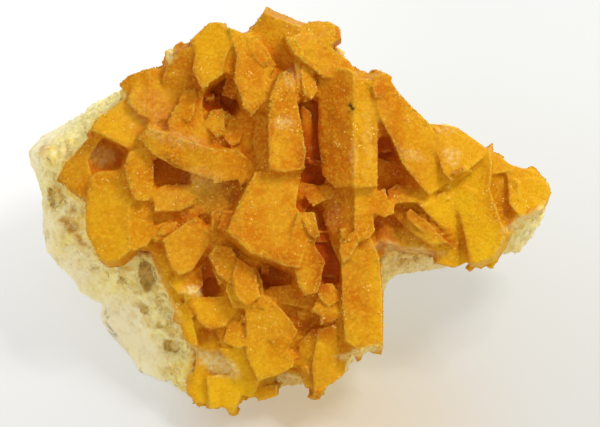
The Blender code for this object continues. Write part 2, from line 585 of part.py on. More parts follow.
def floor_rings():
    """The crust's floor between the blades. Its underside lies inside the matrix, to be cut."""
    top = []
    under = []
    for share in FLOOR_SHARES:
        ring_top = []
        ring_under = []
        for angle in column_angles()[::2]:
            radius = reach(CRUST_OUTLINE, angle) * share
            u = radius * math.cos(angle)
            v = radius * math.sin(angle)
            bumps = noise.noise(Vector((u, v, 4)) * 0.35) * 1.2
            ring_top.append((u, v, seat(share) + FLOOR_THICKNESS + bumps))
            ring_under.append((u, v, seat(share) - 2))
        top.append(ring_top)
        under.append(ring_under)
    return [[(0, 0, seat(0) + FLOOR_THICKNESS)]] + top + under[::-1] + [[(0, 0, seat(0) - 2)]]


def guide(mesh):
    """An object that is only added to or taken from another."""
    thing = bpy.data.objects.new(mesh.name, mesh)
    bpy.context.scene.collection.objects.link(thing)
    thing.hide_render = True
    thing.display_type = "WIRE"
    return thing


def combined(mesh, others, operation, name):
    """The mesh with the others joined to it or taken from it."""
    base = guide(mesh)
    group = bpy.data.collections.new(name + "_tools")
    helpers = [guide(other) for other in others]
    for helper in helpers:
        group.objects.link(helper)
    join = base.modifiers.new("combine", "BOOLEAN")
    join.operation = operation
    join.operand_type = "COLLECTION"
    join.collection = group
    join.solver = "EXACT"
    join.use_self = False
    view = bpy.context.evaluated_depsgraph_get()
    result = bpy.data.meshes.new_from_object(base.evaluated_get(view), depsgraph=view)
    for helper in helpers + [base]:
        bpy.data.objects.remove(helper)
    bpy.data.collections.remove(group)
    result.name = name
    return result


def keep_largest(shape):
    """Removes all but the body with the most faces."""
    shape.faces.ensure_lookup_table()
    left = set(shape.faces)
    bodies = []
    while left:
        body = {left.pop()}
        edge_of_search = list(body)
        while edge_of_search:
            face = edge_of_search.pop()
            for edge in face.edges:
                for other in edge.link_faces:
                    if other in left:
                        left.remove(other)
                        body.add(other)
                        edge_of_search.append(other)
        bodies.append(body)
    bodies.sort(key=len)
    spare = [face for body in bodies[:-1] for face in body]
    bmesh.ops.delete(shape, geom=spare, context="FACES")


def tidy(mesh, merge):
    """Merges points that nearly meet, drops empty faces and leaves triangles."""
    shape = bmesh.new()
    shape.from_mesh(mesh)
    bmesh.ops.remove_doubles(shape, verts=shape.verts, dist=merge)
    bmesh.ops.dissolve_degenerate(shape, edges=shape.edges, dist=merge)
    keep_largest(shape)
    bmesh.ops.triangulate(shape, faces=shape.faces)
    bmesh.ops.recalc_face_normals(shape, faces=shape.faces)
    shape.to_mesh(mesh)
    shape.free()


def material(name, colour, roughness_value):
    made = bpy.data.materials.new(name)
    made.use_nodes = True
    shader = made.node_tree.nodes["Principled BSDF"]
    shader.inputs["Base Color"].default_value = (*colour, 1)
    shader.inputs["Roughness"].default_value = roughness_value
    shader.inputs["Metallic"].default_value = 0
    return made


def node(name, mesh, look):
    thing = bpy.data.objects.new(name, mesh)
    mesh.name = name
    mesh.materials.clear()
    mesh.materials.append(look)
    bpy.context.scene.collection.objects.link(thing)
    return thing


def make_crust_mesh(block):
    """All blades and the floor between them, less the swollen matrix under them."""
    floor = ring_mesh(floor_rings(), "floor")
    blades = [blade_mesh(name, blade) for name, blade in BLADES.items()]
    crust = combined(floor, blades, "UNION", "crust")
    return combined(crust, [swollen(block, CONTACT_GAP)], "DIFFERENCE", "crust")


def centre(meshes):
    """Puts the middle of the whole footprint on the origin."""
    points = [vert.co for mesh in meshes for vert in mesh.vertices]
    middle_x = (min(p.x for p in points) + max(p.x for p in points)) / 2
    middle_y = (min(p.y for p in points) + max(p.y for p in points)) / 2
    for mesh in meshes:
        mesh.transform(Matrix.Translation((-middle_x, -middle_y, 0)))


def build():
    for thing in list(bpy.data.objects):
        bpy.data.objects.remove(thing)
    dolomite = material("dolomite", (0.78, 0.69, 0.45), 0.75)
    smithsonite = material("smithsonite", (0.80, 0.38, 0.03), 0.55)
    block = ring_mesh(block_rings(), "block")
    crust = make_crust_mesh(block)
    block = combined(block, [pit_mesh(block, pit) for pit in PITS], "DIFFERENCE", "block")
    for mesh in (block, crust):
        settle(mesh)
    for point, outward in BREAKS:
        break_off(block, Vector(point) * MM, outward)
    break_off(crust, (0, 0, 0), (0, 0, -1))
    for mesh in (block, crust):
        tidy(mesh, MERGE * MM)
    centre([block, crust])
    node("dolomite_matrix", block, dolomite)
    node("smithsonite_crystals", crust, smithsonite)


build()
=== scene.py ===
import math
from itertools import product

import bmesh
import bpy
import numpy as np
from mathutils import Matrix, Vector
from mathutils.bvhtree import BVHTree
from mathutils.kdtree import KDTree


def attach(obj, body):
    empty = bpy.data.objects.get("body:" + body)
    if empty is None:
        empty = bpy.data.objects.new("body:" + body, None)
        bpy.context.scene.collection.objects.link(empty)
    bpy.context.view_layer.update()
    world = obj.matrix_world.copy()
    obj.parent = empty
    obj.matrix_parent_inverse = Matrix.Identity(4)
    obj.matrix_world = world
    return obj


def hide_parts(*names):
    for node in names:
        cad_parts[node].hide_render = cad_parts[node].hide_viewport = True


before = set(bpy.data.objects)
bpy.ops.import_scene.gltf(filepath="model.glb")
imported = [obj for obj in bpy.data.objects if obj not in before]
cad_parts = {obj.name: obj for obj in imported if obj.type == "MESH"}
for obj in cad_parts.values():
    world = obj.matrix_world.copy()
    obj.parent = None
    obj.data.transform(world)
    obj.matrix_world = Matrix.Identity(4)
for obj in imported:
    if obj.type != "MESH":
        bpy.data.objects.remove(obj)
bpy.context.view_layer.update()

MM = 0.001
FACE_RISE = math.radians(50)
FACE_MIDDLE = np.array((-0.02, -5.97, 25.0))    # where the middle of the crystal face stands, mm
PIXEL = 0.14                                    # one pixel of the photograph, mm
MIDDLE_X, MIDDLE_Y = 290, 215                   # the pixel that shows the middle of the face
PICTURE_WIDTH = 600                             # pixels

# the face's own axes: across, up along it, and out of it
ACROSS = np.array((1.0, 0.0, 0.0))
ALONG = np.array((0.0, math.sin(FACE_RISE), math.cos(FACE_RISE)))
OUT = np.array((0.0, -math.cos(FACE_RISE), math.sin(FACE_RISE)))

# how finely the pieces are made: the size of their faces in mm, and the number of triangles
WORK_VOXEL = 0.35
CRUST_VOXEL = 0.15
BLOCK_VOXEL = 0.24
MOST_TRIANGLES = 197000

# the druse: how many rhombs, and the smallest and largest in mm
GRAIN_COUNT = 15500
GRAIN_SIZES = (0.15, 0.38)
CRUMB_COUNT = 7500
CRUMB_SIZES = (0.22, 0.55)

# how far a place looks for what covers it, in mm: for recesses, and for narrow gaps
FAR_REACH = 14.0
NEAR_REACH = 4.0

# skins that close the gaps between crystals: how far each is drawn out and back, and how much
# further it then sinks, in mm
SKINS = ((0.65, 0.3), (1.5, 1.7))

# small prisms strewn over the crystals: how many, their half size, thickness and height over the
# skin in mm, each from least to most, and how far they lean
GROWTH_STEPS = {"count": 120, "reach": (0.9, 2.4), "thick": (0.8, 1.0), "proud": (0.05, 0.15),
                "lean": 0.05}
CHIPS = {"count": 60, "reach": (0.5, 1.2), "thick": (0.8, 1.4), "proud": (0.05, 0.3), "lean": 0.3}

# Places and sizes below are in the photograph's pixels: middle across, middle down, half width,
# half height, turn in degrees against the clock, and how strong it is.
YELLOW = [
    (112, 228, 34, 48, 0, 0.4), (470, 215, 48, 60, 0, 1.0), (535, 200, 26, 40, 0, 0.9),
    (376, 305, 8, 60, 0, 0.5), (228, 375, 60, 34, 0, 0.7), (255, 330, 36, 40, 0, 0.15),
    (300, 30, 50, 26, 0, 0.25), (215, 305, 26, 20, 0, 0.5), (118, 120, 26, 26, 0, 0.4),
    (214, 48, 20, 36, 0, 0.5), (364, 140, 10, 60, 0, 0.4),
    (440, 150, 40, 26, 0, 0.3), (330, 340, 40, 34, 0, 0.4), (185, 250, 26, 26, 0, 0.05),
    (175, 300, 11, 56, 28, 1.0), (220, 395, 40, 24, 0, 1.0), (478, 240, 40, 40, 0, 1.0),
]
# painted shade: spots where the recesses and gaps between blades are coloured deep reddish brown
RED = [
    (228, 82, 12, 30, 0, 0.4), (308, 160, 10, 22, 0, 1.0), (396, 160, 14, 38, 25, 0.8),
    (321, 250, 11, 44, 0, 0.9), (278, 270, 20, 16, 0, 0.8), (318, 326, 26, 13, 0, 1.0),
    (170, 170, 20, 14, -15, 0.7), (229, 194, 10, 14, 0, 0.8), (209, 272, 12, 28, 0, 0.8),
    (390, 228, 14, 11, 0, 0.6), (117, 157, 9, 10, 0, 0.6), (210, 334, 10, 7, 0, 0.8),
    (334, 130, 18, 56, 0, 0.35), (184, 72, 12, 24, 0, 0.25), (254, 136, 14, 30, 0, 0.25),
    (337, 205, 14, 22, 0, 0.5), (438, 155, 8, 18, 0, 0.3), (498, 198, 12, 36, 12, 0.6),
    (300, 300, 26, 12, 0, 0.4), (234, 222, 12, 20, 0, 0.3), (434, 228, 8, 34, 55, 0.8),
    (272, 272, 12, 18, -40, 0.9), (184, 308, 6, 18, 30, 0.5), (352, 295, 10, 50, 0, 0.3),
    (284, 105, 12, 36, 0, 0.15), (185, 240, 24, 26, 0, 0.15), (312, 165, 12, 26, 0, 1.0),
    (384, 100, 8, 26, 15, 0.35), (281, 62, 10, 14, 0, 0.3), (282, 17, 24, 5, -25, 0.35),
    (218, 100, 14, 12, 30, 0.3), (110, 156, 14, 10, 0, 0.5), (192, 84, 10, 10, 0, 0.5),
    (360, 290, 20, 60, 0, 0.2), (270, 240, 40, 24, 0, 0.12), (240, 290, 20, 18, 0, 0.12),
    (130, 210, 12, 30, 0, 0.2), (320, 40, 30, 18, 0, 0.15), (440, 165, 30, 20, 0, 0.18),
    (520, 185, 30, 30, 0, 0.12), (260, 340, 36, 36, 0, 0.1), (282, 100, 12, 30, 0, 0.18),
    (185, 245, 24, 24, 0, 0.15),
]
# milk-white patches, cream bands where the matrix shows under the crystals, and some painted
# highlights on the arm's blades
MILKY = [
    (284, 123, 10, 7, 0, 0.4), (353, 160, 3.5, 18, 0, 0.2), (192, 291, 9, 5, 0, 0.7),
    (216, 364, 24, 9, -28, 1.0), (100, 158, 12, 10, 0, 0.25), (148, 112, 26, 22, 0, 0.1),
    (169, 54, 5, 8, 0, 1.0), (452, 156, 9, 8, 0, 0.38), (411, 154, 14, 4, -25, 0.22),
    (175, 138, 30, 8, -15, 0.2), (292, 78, 8, 10, 0, 0.3), (205, 180, 20, 12, 0, 0.15),
    (310, 30, 26, 12, 0, 0.05), (334, 215, 8, 16, 0, 0.1), (368, 140, 5, 40, 0, 0.1),
    (362, 353, 22, 5, 14, 1.0), (527, 219, 25, 5, 26, 0.9), (408, 251, 32, 5, -8, 0.6),
    (163, 290, 6, 34, 27, 0.35), (190, 352, 14, 8, -35, 0.6), (450, 128, 14, 4, 0, 0.25),
]
SUGARY = [
    (150, 100, 60, 50, 0, 1.0), (250, 100, 90, 90, 0, 0.8), (250, 210, 70, 50, 0, 0.8),
    (365, 120, 16, 70, 0, 0.9), (120, 200, 60, 60, 0, 0.5), (310, 300, 110, 90, 0, 0.35),
    (210, 190, 60, 30, 0, 0.9), (330, 210, 40, 60, 0, 0.5), (410, 120, 40, 50, 0, 0.4),
]
OLIVE = [
    (212, 197, 22, 18, 0, 0.5), (286, 382, 24, 9, 0, 0.7), (100, 158, 11, 9, 0, 0.4),
    (176, 200, 18, 10, 0, 0.3), (410, 236, 22, 12, 0, 0.3),
]

# a black speck caught between two blades
SPECKS = [
    (350, 105, 1.6, 2.6, 20, 1.0), (352.5, 109, 2.2, 1.6, -30, 1.0), (349, 112, 0.9, 0.9, 0, 0.8),
]

# pits in the dolomite, the last number being the depth in mm
PITS = [
    (52, 197, 8, 13, 0, 1.5), (71, 210, 4, 3, 0, 0.7), (33, 240, 3, 6, 0, 0.6),
    (146, 275, 7, 14, 12, 2.0), (120, 281, 4, 7, 20, 1.0), (143, 309, 6, 4, 0, 1.0),
    (157, 327, 8, 1.8, -8, 0.7), (171, 348, 9, 6, 0, 1.2), (207, 358, 9, 8, -20, 1.4),
    (131, 292, 3, 4, 0, 0.6), (160, 304, 5, 3, -30, 0.6), (185, 338, 6, 4, -30, 0.7),
    (168, 372, 5, 4, 0, 0.5), (66, 224, 9, 6, -30, 0.9), (78, 240, 7, 2.5, -50, 0.6),
    (46, 168, 5, 7, 0, 0.5), (404, 262, 6, 5, 0, 0.8), (420, 256, 5, 4, 0, 0.7),
    (440, 262, 6, 5, 0, 0.6), (528, 236, 5, 9, -30, 0.6), (196, 384, 5, 3, 0, 0.5),
    (43, 236, 3, 5, 0, 0.5), (56, 262, 4, 3, 0, 0.4),
]
AMBER = [
    (41, 150, 9, 6, 20, 0.8), (70, 226, 12, 8, -30, 0.8), (79, 241, 8, 3, -50, 0.9),
    (423, 249, 5, 4, 0, 0.9), (146, 278, 6, 10, 12, 0.6), (208, 360, 8, 7, -20, 0.7),
    (60, 186, 8, 16, 0, 0.4), (66, 150, 16, 10, 30, 0.3), (170, 372, 8, 5, 0, 0.5),
    (188, 390, 10, 6, 0, 0.4), (412, 262, 34, 16, -10, 0.45), (520, 252, 14, 10, -30, 0.4),
    (290, 380, 24, 12, 0, 0.7),
    (345, 372, 16, 10, 0, 0.3), (120, 276, 5, 8, 0, 0.4),
]
GREEN = [
    (70, 130, 26, 22, 30, 0.7), (50, 194, 12, 18, 0, 0.8), (146, 282, 9, 14, 0, 0.5),
    (170, 314, 16, 10, -30, 0.6), (172, 350, 16, 10, -20, 0.7), (440, 262, 26, 12, 0, 0.5),
    (533, 232, 14, 20, -30, 0.4), (34, 240, 6, 12, 0, 0.6), (90, 290, 8, 14, 0, 0.4),
    (405, 262, 14, 10, 0, 0.5),
]
GREY = [
    (103, 318, 1.8, 8, 8, 0.8), (110, 336, 2.8, 13, 33, 0.9), (124, 358, 2.0, 12, 33, 0.8),
    (138, 377, 1.8, 6, 40, 0.6),
]
PINK = [
    (80, 265, 22, 16, -40, 0.8), (120, 325, 24, 24, -40, 0.6), (150, 352, 20, 12, -30, 0.6),
    (50, 232, 12, 16, 0, 0.5), (66, 206, 10, 8, 0, 0.5),
]

# where the outline is drawn out or in: middle, reach, and the way to the right and down
PUSHES = [
    (28, 150, 34, -7, -5), (36, 215, 34, -7, 0), (54, 262, 22, -4, 2), (78, 290, 16, -4, 2),
    (104, 322, 14, -4, 0), (136, 374, 20, -4, 5), (185, 400, 18, 0, 5), (548, 192, 22, 4, 0),
    (544, 224, 20, 4, 2), (522, 250, 18, 3, 4), (278, 10, 18, 0, 4), (482, 270, 10, 0, -5),
    (372, 66, 13, 0, 6), (300, 14, 12, 0, 3), (372, 356, 12, -1, -6), (359, 67, 8, -2, 5),
]

# small blades between the big ones: middle across and down, half length, half width, turn against
# the clock, lean to the right and upwards in degrees, and how far the blade stands out in mm
SMALL_BLADES = [
    (226, 262, 24, 13, -68, 6, 4, 0.9), (246, 281, 25, 15, -78, 10, 8, 1.1),
    (309, 80, 19, 8, -76, 14, 6, 0.6), (309, 130, 32, 6, -80, 12, 0, 1.0),
    (350, 245, 17, 8, 62, -8, 6, 0.9), (311, 224, 16, 7, -70, 10, 4, 0.5),
    (286, 283, 14, 8, -12, -20, 10, 0.2), (167, 228, 12, 5, 25, -10, 20, 0.5),
    (226, 222, 16, 8, 70, -14, 0, 0.4), (236, 335, 16, 12, 80, -6, 10, 0.5),
    (232, 78, 27, 10, 68, -34, -6, -0.5), (216, 122, 14, 10, 78, -6, 8, 0.3),
    (234, 132, 15, 11, 70, 8, 6, 0.4), (258, 52, 18, 7, -64, 10, 10, 0.2),
    (296, 48, 15, 6, -60, 12, 8, 0.5), (330, 294, 14, 10, -50, 6, 12, 0.5),
    (366, 150, 24, 6, 88, 10, 0, 0.15), (188, 104, 16, 9, 75, -4, 10, 0.3),
    (221, 92, 22, 15, 58, -20, -16, 0.6),
    (420, 222, 22, 6, -42, 4, 10, 0.5), (176, 370, 8, 6, 20, -4, 10, 0.3),
]
# the outline of a small blade, in half lengths and half widths
BLADE_ENDS = ((-1.0, -0.35), (-0.55, -1.0), (0.6, -0.95), (1.0, -0.15), (0.75, 0.9), (-0.6, 1.0))
BLADE_DEPTH = 3.0       # mm
WELL_CLEAR = 60.0       # further out of the face than any crystal, mm


def pixels(points):
    """Where the photograph shows world points, in its pixels."""
    from_middle = points - FACE_MIDDLE
    across, along = from_middle @ ACROSS, from_middle @ ALONG
    return np.stack((MIDDLE_X + across / PIXEL, MIDDLE_Y - along / PIXEL), axis=1)


def world_place(x, y, height):
    """The place in world mm that the photograph shows at a pixel, at a height out of the face."""
    across, along = ACROSS * (x - MIDDLE_X) * PIXEL, ALONG * (MIDDLE_Y - y) * PIXEL
    return FACE_MIDDLE + across + along + OUT * height


def smooth(low, high, value):
    """0 below low, 1 above high, and an even curve between."""
    share = np.clip((value - low) / (high - low), 0, 1)
    return share * share * (3 - 2 * share)


def settled(points):
    """Points with the outline drawn out or in by the pushes, but with a level foot."""
    places = pixels(points)
    across, along = np.zeros(len(points)), np.zeros(len(points))
    for x, y, wide, right, down in PUSHES:
        gap = ((places[:, 0] - x) ** 2 + (places[:, 1] - y) ** 2) / (wide * wide)
        share = np.exp(-gap) * PIXEL
        across += right * share
        along -= down * share
    moved = across[:, None] * ACROSS + along[:, None] * ALONG
    moved[:, 2] *= smooth(0, 5, points[:, 2])
    moved = points + moved
    moved[:, 2] = np.maximum(moved[:, 2], 0)
    return moved


# repeatable noise, in which the last number of each call is its seed

# large odd numbers that scramble places and seeds, and the largest prime of 32 bits
PRIMES = (73856093, 19349663, 83492791)
SEED_FACTOR = 2654435
MIXER = np.uint32(0x2C1B3C6D)
LARGEST_PRIME = 4294967291

FULL_TURN = 6.2832
GOLDEN_TURN = 2.39996       # between neighbours on an even spiral


def scramble(x, y, z, seed):
    """A number from 0 to 1 for each whole-number place."""
    mixed = np.uint32(seed * SEED_FACTOR % LARGEST_PRIME)
    for place, prime in zip((x, y, z), PRIMES):
        mixed = mixed ^ (place.astype(np.uint32) * np.uint32(prime))
    for shift in (15, 13):
        mixed ^= mixed >> np.uint32(shift)
        mixed *= MIXER
    mixed ^= mixed >> np.uint32(16)
    return mixed.astype(np.float64) / 2.0 ** 32


def neighbours(low, steps=(-1, 0, 1)):
    """The whole-number places that lie some steps each way from each point's own."""
    for step in product(steps, repeat=3):
        yield tuple(low[:, k] + step[k] for k in range(3))


def scattered(corner, seed, count):
    """Several numbers from 0 to 1 for each whole-number place."""
    return np.stack([scramble(*corner, seed + k) for k in range(count)], axis=1)


def clouds(points, size, seed):
    """Soft noise from -1 to 1 whose lumps are about size across."""
    place = points / size
    low = np.floor(place).astype(np.int64)
    part = place - low
    ease = part * part * part * (part * (part * 6 - 15) + 10)
    total = np.zeros(len(points))
    for step, corner in zip(product((0, 1), repeat=3), neighbours(low, (0, 1))):
        slope = scattered(corner, seed * 3, 3) * 2 - 1
        weight = np.where(step, ease, 1 - ease)
        weight = weight[:, 0] * weight[:, 1] * weight[:, 2]
        total += weight * (slope * (part - step)).sum(axis=1)
    return np.clip(total * 1.6, -1, 1)


def layered(points, size, seed, layers=3):
    """Clouds of several sizes, each half the one before."""
    total = np.zeros(len(points))
    for layer in range(layers):
        total += clouds(points, size / 2 ** layer, seed + layer * 17) / 2 ** layer
    return total / (2 - 0.5 ** (layers - 1))


def drift(points, size, seed):
    """Three clouds at once, to bend a pattern with."""
    return np.stack([clouds(points, size, seed + k) for k in range(3)], axis=1)


def cells(points, size, seed):
    """For grains about size across: the distance to the nearest one's middle and to the next,
    in grain sizes, a number for the nearest, and the way from its middle to the point."""
    place = points / size
    low = np.floor(place).astype(np.int64)
    nearest = np.full(len(points), 9.0)
    following = np.full(len(points), 9.0)
    number = np.zeros(len(points))
    way = np.zeros((len(points), 3))
    for corner in neighbours(low):
        reach = place - (np.stack(corner, axis=1) + scattered(corner, seed * 5, 3))
        gap = np.sqrt((reach * reach).sum(axis=1))
        closer = gap < nearest
        following = np.where(closer, nearest, np.minimum(following, gap))
        number = np.where(closer, scramble(*corner, seed * 5 + 4), number)
        way = np.where(closer[:, None], reach, way)
        nearest = np.where(closer, gap, nearest)
    return nearest, following, number, way


def facets(points, size, seed):
    """Heights from 0 to about 1 of a druse: each grain is a small tilted facet."""
    nearest, following, number, way = cells(points, size, seed)
    turn = number * FULL_TURN * 7
    lean = np.stack((np.cos(turn), np.sin(turn), np.cos(turn * 1.7)), axis=1)
    tilt = (way * lean).sum(axis=1)
    dome = np.clip((following - nearest) * 1.6, 0, 1)
    return dome * (0.55 + 0.25 * number + 0.5 * tilt)


def holes(points, size, share, seed):
    """1 inside round holes in a share of the cells, 0 outside."""
    nearest, _, number, _ = cells(points, size, seed)
    wide = 0.22 + 0.25 * number / share
    return (1 - smooth(wide - 0.1, wide + 0.1, nearest)) * (number < share)


def fracture(points, size, seed):
    """Heights from about -0.2 to 0.5 of a broken face: hollow flakes about size across."""
    place = points / size
    low = np.floor(place).astype(np.int64)
    height = np.full(len(points), 9.0)
    for corner in neighbours(low):
        chance = scattered(corner, seed * 7, 6)
        reach = place - (np.stack(corner, axis=1) + chance[:, :3])
        slope = (reach * (chance[:, 3:] * 2 - 1)).sum(axis=1)
        height = np.minimum(height, 0.8 * (reach * reach).sum(axis=1) + 0.6 * slope)
    return height


def spot(places, x, y, wide, high, turn, edge=0.45):
    """1 inside an oval of the photograph, 0 outside, with a soft edge."""
    c, s = math.cos(math.radians(turn)), math.sin(math.radians(turn))
    dx, dy = places[:, 0] - x, places[:, 1] - y
    a, b = (dx * c - dy * s) / wide, (dx * s + dy * c) / high
    return 1 - smooth(1 - edge, 1 + edge, np.sqrt(a * a + b * b))


def spots(places, table, edge=0.45):
    """The strongest of a table's spots at each place."""
    strongest = np.zeros(len(places))
    for x, y, wide, high, turn, strength in table:
        strongest = np.maximum(strongest, strength * spot(places, x, y, wide, high, turn, edge))
    return strongest


# meshes

def linked(name, data):
    """A new object of some data, in the scene."""
    obj = bpy.data.objects.new(name, data)
    bpy.context.scene.collection.objects.link(obj)
    return obj


def numbers(rows, key, wide, kind=np.float32):
    """A property of each row of a mesh, as an array wide numbers across."""
    flat = np.empty(len(rows) * wide, kind)
    rows.foreach_get(key, flat)
    return flat.reshape(-1, wide)


def mesh_points(mesh):
    return numbers(mesh.vertices, "co", 3).astype(np.float64) / MM


def move_points(mesh, points):
    mesh.vertices.foreach_set("co", (points * MM).astype(np.float32).ravel())
    mesh.update()


def mesh_normals(mesh):
    return numbers(mesh.vertex_normals, "vector", 3).astype(np.float64)


def mesh_edges(mesh):
    return numbers(mesh.edges, "vertices", 2, np.int32)


def mesh_triangles(mesh):
    mesh.calc_loop_triangles()
    return numbers(mesh.loop_triangles, "vertices", 3, np.int32)


def point_values(mesh, name):
    return numbers(mesh.attributes[name].data, "value", 1)[:, 0].astype(np.float64)


def set_values(mesh, **values):
    """Gives the points of a mesh some named values, for its colours to follow."""
    for name, own in values.items():
        made = mesh.attributes.new(name, "FLOAT", "POINT")
        made.data.foreach_set("value", own.astype(np.float32))


def averaged(values, ends, rounds, shares=(0.6,)):
    """Each point's values mixed with its neighbours', several times, by the shares in turn."""
    a, b = ends[:, 0], ends[:, 1]
    count = np.bincount(a, minlength=len(values)) + np.bincount(b, minlength=len(values))
    flat = values if values.ndim == 2 else values[:, None]
    for turn in range(rounds):
        around = np.empty_like(flat)
        for k in range(flat.shape[1]):
            around[:, k] = (np.bincount(a, flat[b, k], len(flat))
                            + np.bincount(b, flat[a, k], len(flat)))
        share = shares[turn % len(shares)]
        flat = (1 - share) * flat + share * around / np.maximum(count, 1)[:, None]
    return flat if values.ndim == 2 else flat[:, 0]


def apply_modifiers(obj):
    """Gives the object the mesh that its modifiers make, and takes them off."""
    graph = bpy.context.evaluated_depsgraph_get()
    mesh = bpy.data.meshes.new_from_object(obj.evaluated_get(graph))
    obj.modifiers.clear()
    old, obj.data = obj.data, mesh
    bpy.data.meshes.remove(old)


def joined_in(obj, added, voxel, meshes=()):
    """Grows added solids, given as points in mm and faces or as meshes, into a piece and gives it
    even faces."""
    form = bmesh.new()
    form.from_mesh(obj.data)
    for mesh in meshes:
        form.from_mesh(mesh)
    for points, faces in added:
        corners = [form.verts.new(p * MM) for p in points]
        for face in faces:
            form.faces.new([corners[k] for k in face])
    form.to_mesh(obj.data)
    form.free()
    remesh = obj.modifiers.new("even faces", "REMESH")
    remesh.mode = "VOXEL"
    remesh.voxel_size = voxel * MM
    apply_modifiers(obj)


def refined(node, name, voxel):
    """A copy of a frame node in even small faces."""
    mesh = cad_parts[node].data.copy()
    mesh.materials.clear()
    form = bmesh.new()
    form.from_mesh(mesh)
    bmesh.ops.remove_doubles(form, verts=form.verts, dist=1e-7)
    form.to_mesh(mesh)
    form.free()
    obj = linked(name, mesh)
    joined_in(obj, (), voxel)
    return obj


def lightened(obj, most, keep):
    """Takes faces out where they are flat or keep is low, down to most triangles."""
    mesh = obj.data
    mesh.calc_loop_triangles()
    if len(mesh.loop_triangles) <= most:
        return
    fewer = obj.modifiers.new("fewer faces", "DECIMATE")
    fewer.ratio = most / len(mesh.loop_triangles)
    group = obj.vertex_groups.new(name="spare")
    spare = np.round(10 - 9 * keep).astype(int)
    for step in range(1, 11):
        group.add(np.nonzero(spare == step)[0].tolist(), step / 10, "REPLACE")
    fewer.vertex_group = "spare"
    fewer.vertex_group_factor = 3
    apply_modifiers(obj)
    obj.vertex_groups.clear()


def tree_of(*nodes):
    """The named frame solids as one search tree, in mm."""
    points, faces = [], []
    for name in nodes:
        first = len(points)
        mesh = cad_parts[name].data
        points += [v.co / MM for v in mesh.vertices]
        faces += [[first + i for i in p.vertices] for p in mesh.polygons]
    return BVHTree.FromPolygons(points, faces)


def sky_directions(count):
    """Even directions over a half sphere round +Z, denser at the top."""
    ways = []
    for k in range(count):
        rise = math.sqrt((k + 0.5) / count)
        turn = k * GOLDEN_TURN
        ways.append((rise * math.cos(turn), rise * math.sin(turn), math.sqrt(1 - rise * rise)))
    return ways


def openness(points, normals, tree, reach, count=36):
    """The share of a half sphere over each point that is free within reach."""
    ways = sky_directions(count)
    free = np.zeros(len(points))
    for i in range(len(points)):
        normal = Vector(normals[i])
        side = normal.orthogonal().normalized()
        other = normal.cross(side)
        start = Vector(points[i]) + normal * 0.35
        hits = 0
        for x, y, z in ways:
            if tree.ray_cast(start, side * x + other * y + normal * z, reach)[0] is not None:
                hits += 1
        free[i] = 1 - hits / count
    return free


def carried(values, places, points):
    """Values known at places, taken over to points from the three nearest."""
    tree = KDTree(len(places))
    for i, place in enumerate(places):
        tree.insert(place, i)
    tree.balance()
    which = np.empty((len(points), 3), np.int64)
    far = np.empty((len(points), 3))
    for i, point in enumerate(points):
        for k, (_, index, distance) in enumerate(tree.find_n(point, 3)):
            which[i, k] = index
            far[i, k] = distance
    weight = 1 / (far + 0.05)
    weight /= weight.sum(axis=1)[:, None]
    return (values[which] * weight[:, :, None]).sum(axis=1)


both_solids = tree_of("smithsonite_crystals", "dolomite_matrix")
crystal_solid = tree_of("smithsonite_crystals")
matrix_solid = tree_of("dolomite_matrix")


def distances(solid, points):
    """How far each point is from a solid, in mm."""
    return np.array([solid.find_nearest(Vector(p))[3] for p in points])


def sampled(node, voxel):
    """A coarse copy's points, how open to the sky they are far and near and how much the solid
    bulges there, and their normals."""
    coarse = refined(node, "coarse copy", voxel)
    points, normals = mesh_points(coarse.data), mesh_normals(coarse.data)
    ends = mesh_edges(coarse.data)
    bulge = ((points - averaged(points, ends, 3)) * normals).sum(axis=1)
    bulge = averaged(bulge, ends, 1)
    far = openness(points, normals, both_solids, FAR_REACH)
    near = openness(points, normals, both_solids, NEAR_REACH, 20)
    values = np.stack((averaged(far, ends, 1), averaged(near, ends, 1), bulge), axis=1)
    bpy.data.objects.remove(coarse)
    return points, values, normals


def prism(upper, lower):
    """A closed solid between two rings of as many points, as points and faces."""
    sides = len(upper)
    faces = [list(range(sides)), list(range(2 * sides - 1, sides - 1, -1))]
    faces += [[j, sides + j, sides + (j + 1) % sides, (j + 1) % sides] for j in range(sides)]
    return [Vector(corner) for corner in (*upper, *lower)], faces


def small_blades(points, normals, weight, chance, count, reach, thick, proud, lean):
    """Irregular flat prisms half sunk in a skin, more of them where weight is high."""
    weight = weight + 1e-9      # no place is left out, so there are always enough
    made = []
    for k in chance.choice(len(points), count, replace=False, p=weight / weight.sum()):
        up = normals[k] + lean * chance.normal(size=3)
        up /= np.linalg.norm(up)
        first = np.cross(up, chance.normal(size=3))
        first /= np.linalg.norm(first)
        second = np.cross(up, first)
        long = chance.uniform(*reach)
        wide = long * chance.uniform(0.45, 0.9)
        sides = chance.integers(4, 8)
        top = points[k] + normals[k] * chance.uniform(*proud)
        deep = chance.uniform(*thick)
        turns = (np.arange(sides) + chance.uniform(-0.3, 0.3, sides)) * 2 * math.pi / sides
        rim = np.cos(turns)[:, None] * first * long + np.sin(turns)[:, None] * second * wide
        made.append(prism(top + rim * 0.93, top + rim - up * deep))
    return made


def filled(values, normals):
    """How far the walls of the narrowest gaps and the floor of a deep one have grown out, in mm."""
    floor = 1.4 * smooth(-0.1, 0.6, normals @ OUT) * (1 - smooth(0.06, 0.24, values[:, 0]))
    return floor + 0.6 * (1 - smooth(0.10, 0.36, values[:, 1]))


def closed_over(obj, reach, sunk):
    """A skin over a piece that closes its gaps up to twice reach wide, then sunk a little."""
    over = linked("skin", obj.data.copy())
    move_points(over.data, mesh_points(over.data) + mesh_normals(over.data) * reach)
    joined_in(over, (), WORK_VOXEL)
    ways = averaged(mesh_normals(over.data), mesh_edges(over.data), 2)
    ways /= np.maximum(np.linalg.norm(ways, axis=1), 1e-6)[:, None]
    move_points(over.data, mesh_points(over.data) - ways * (reach + sunk))
    return over


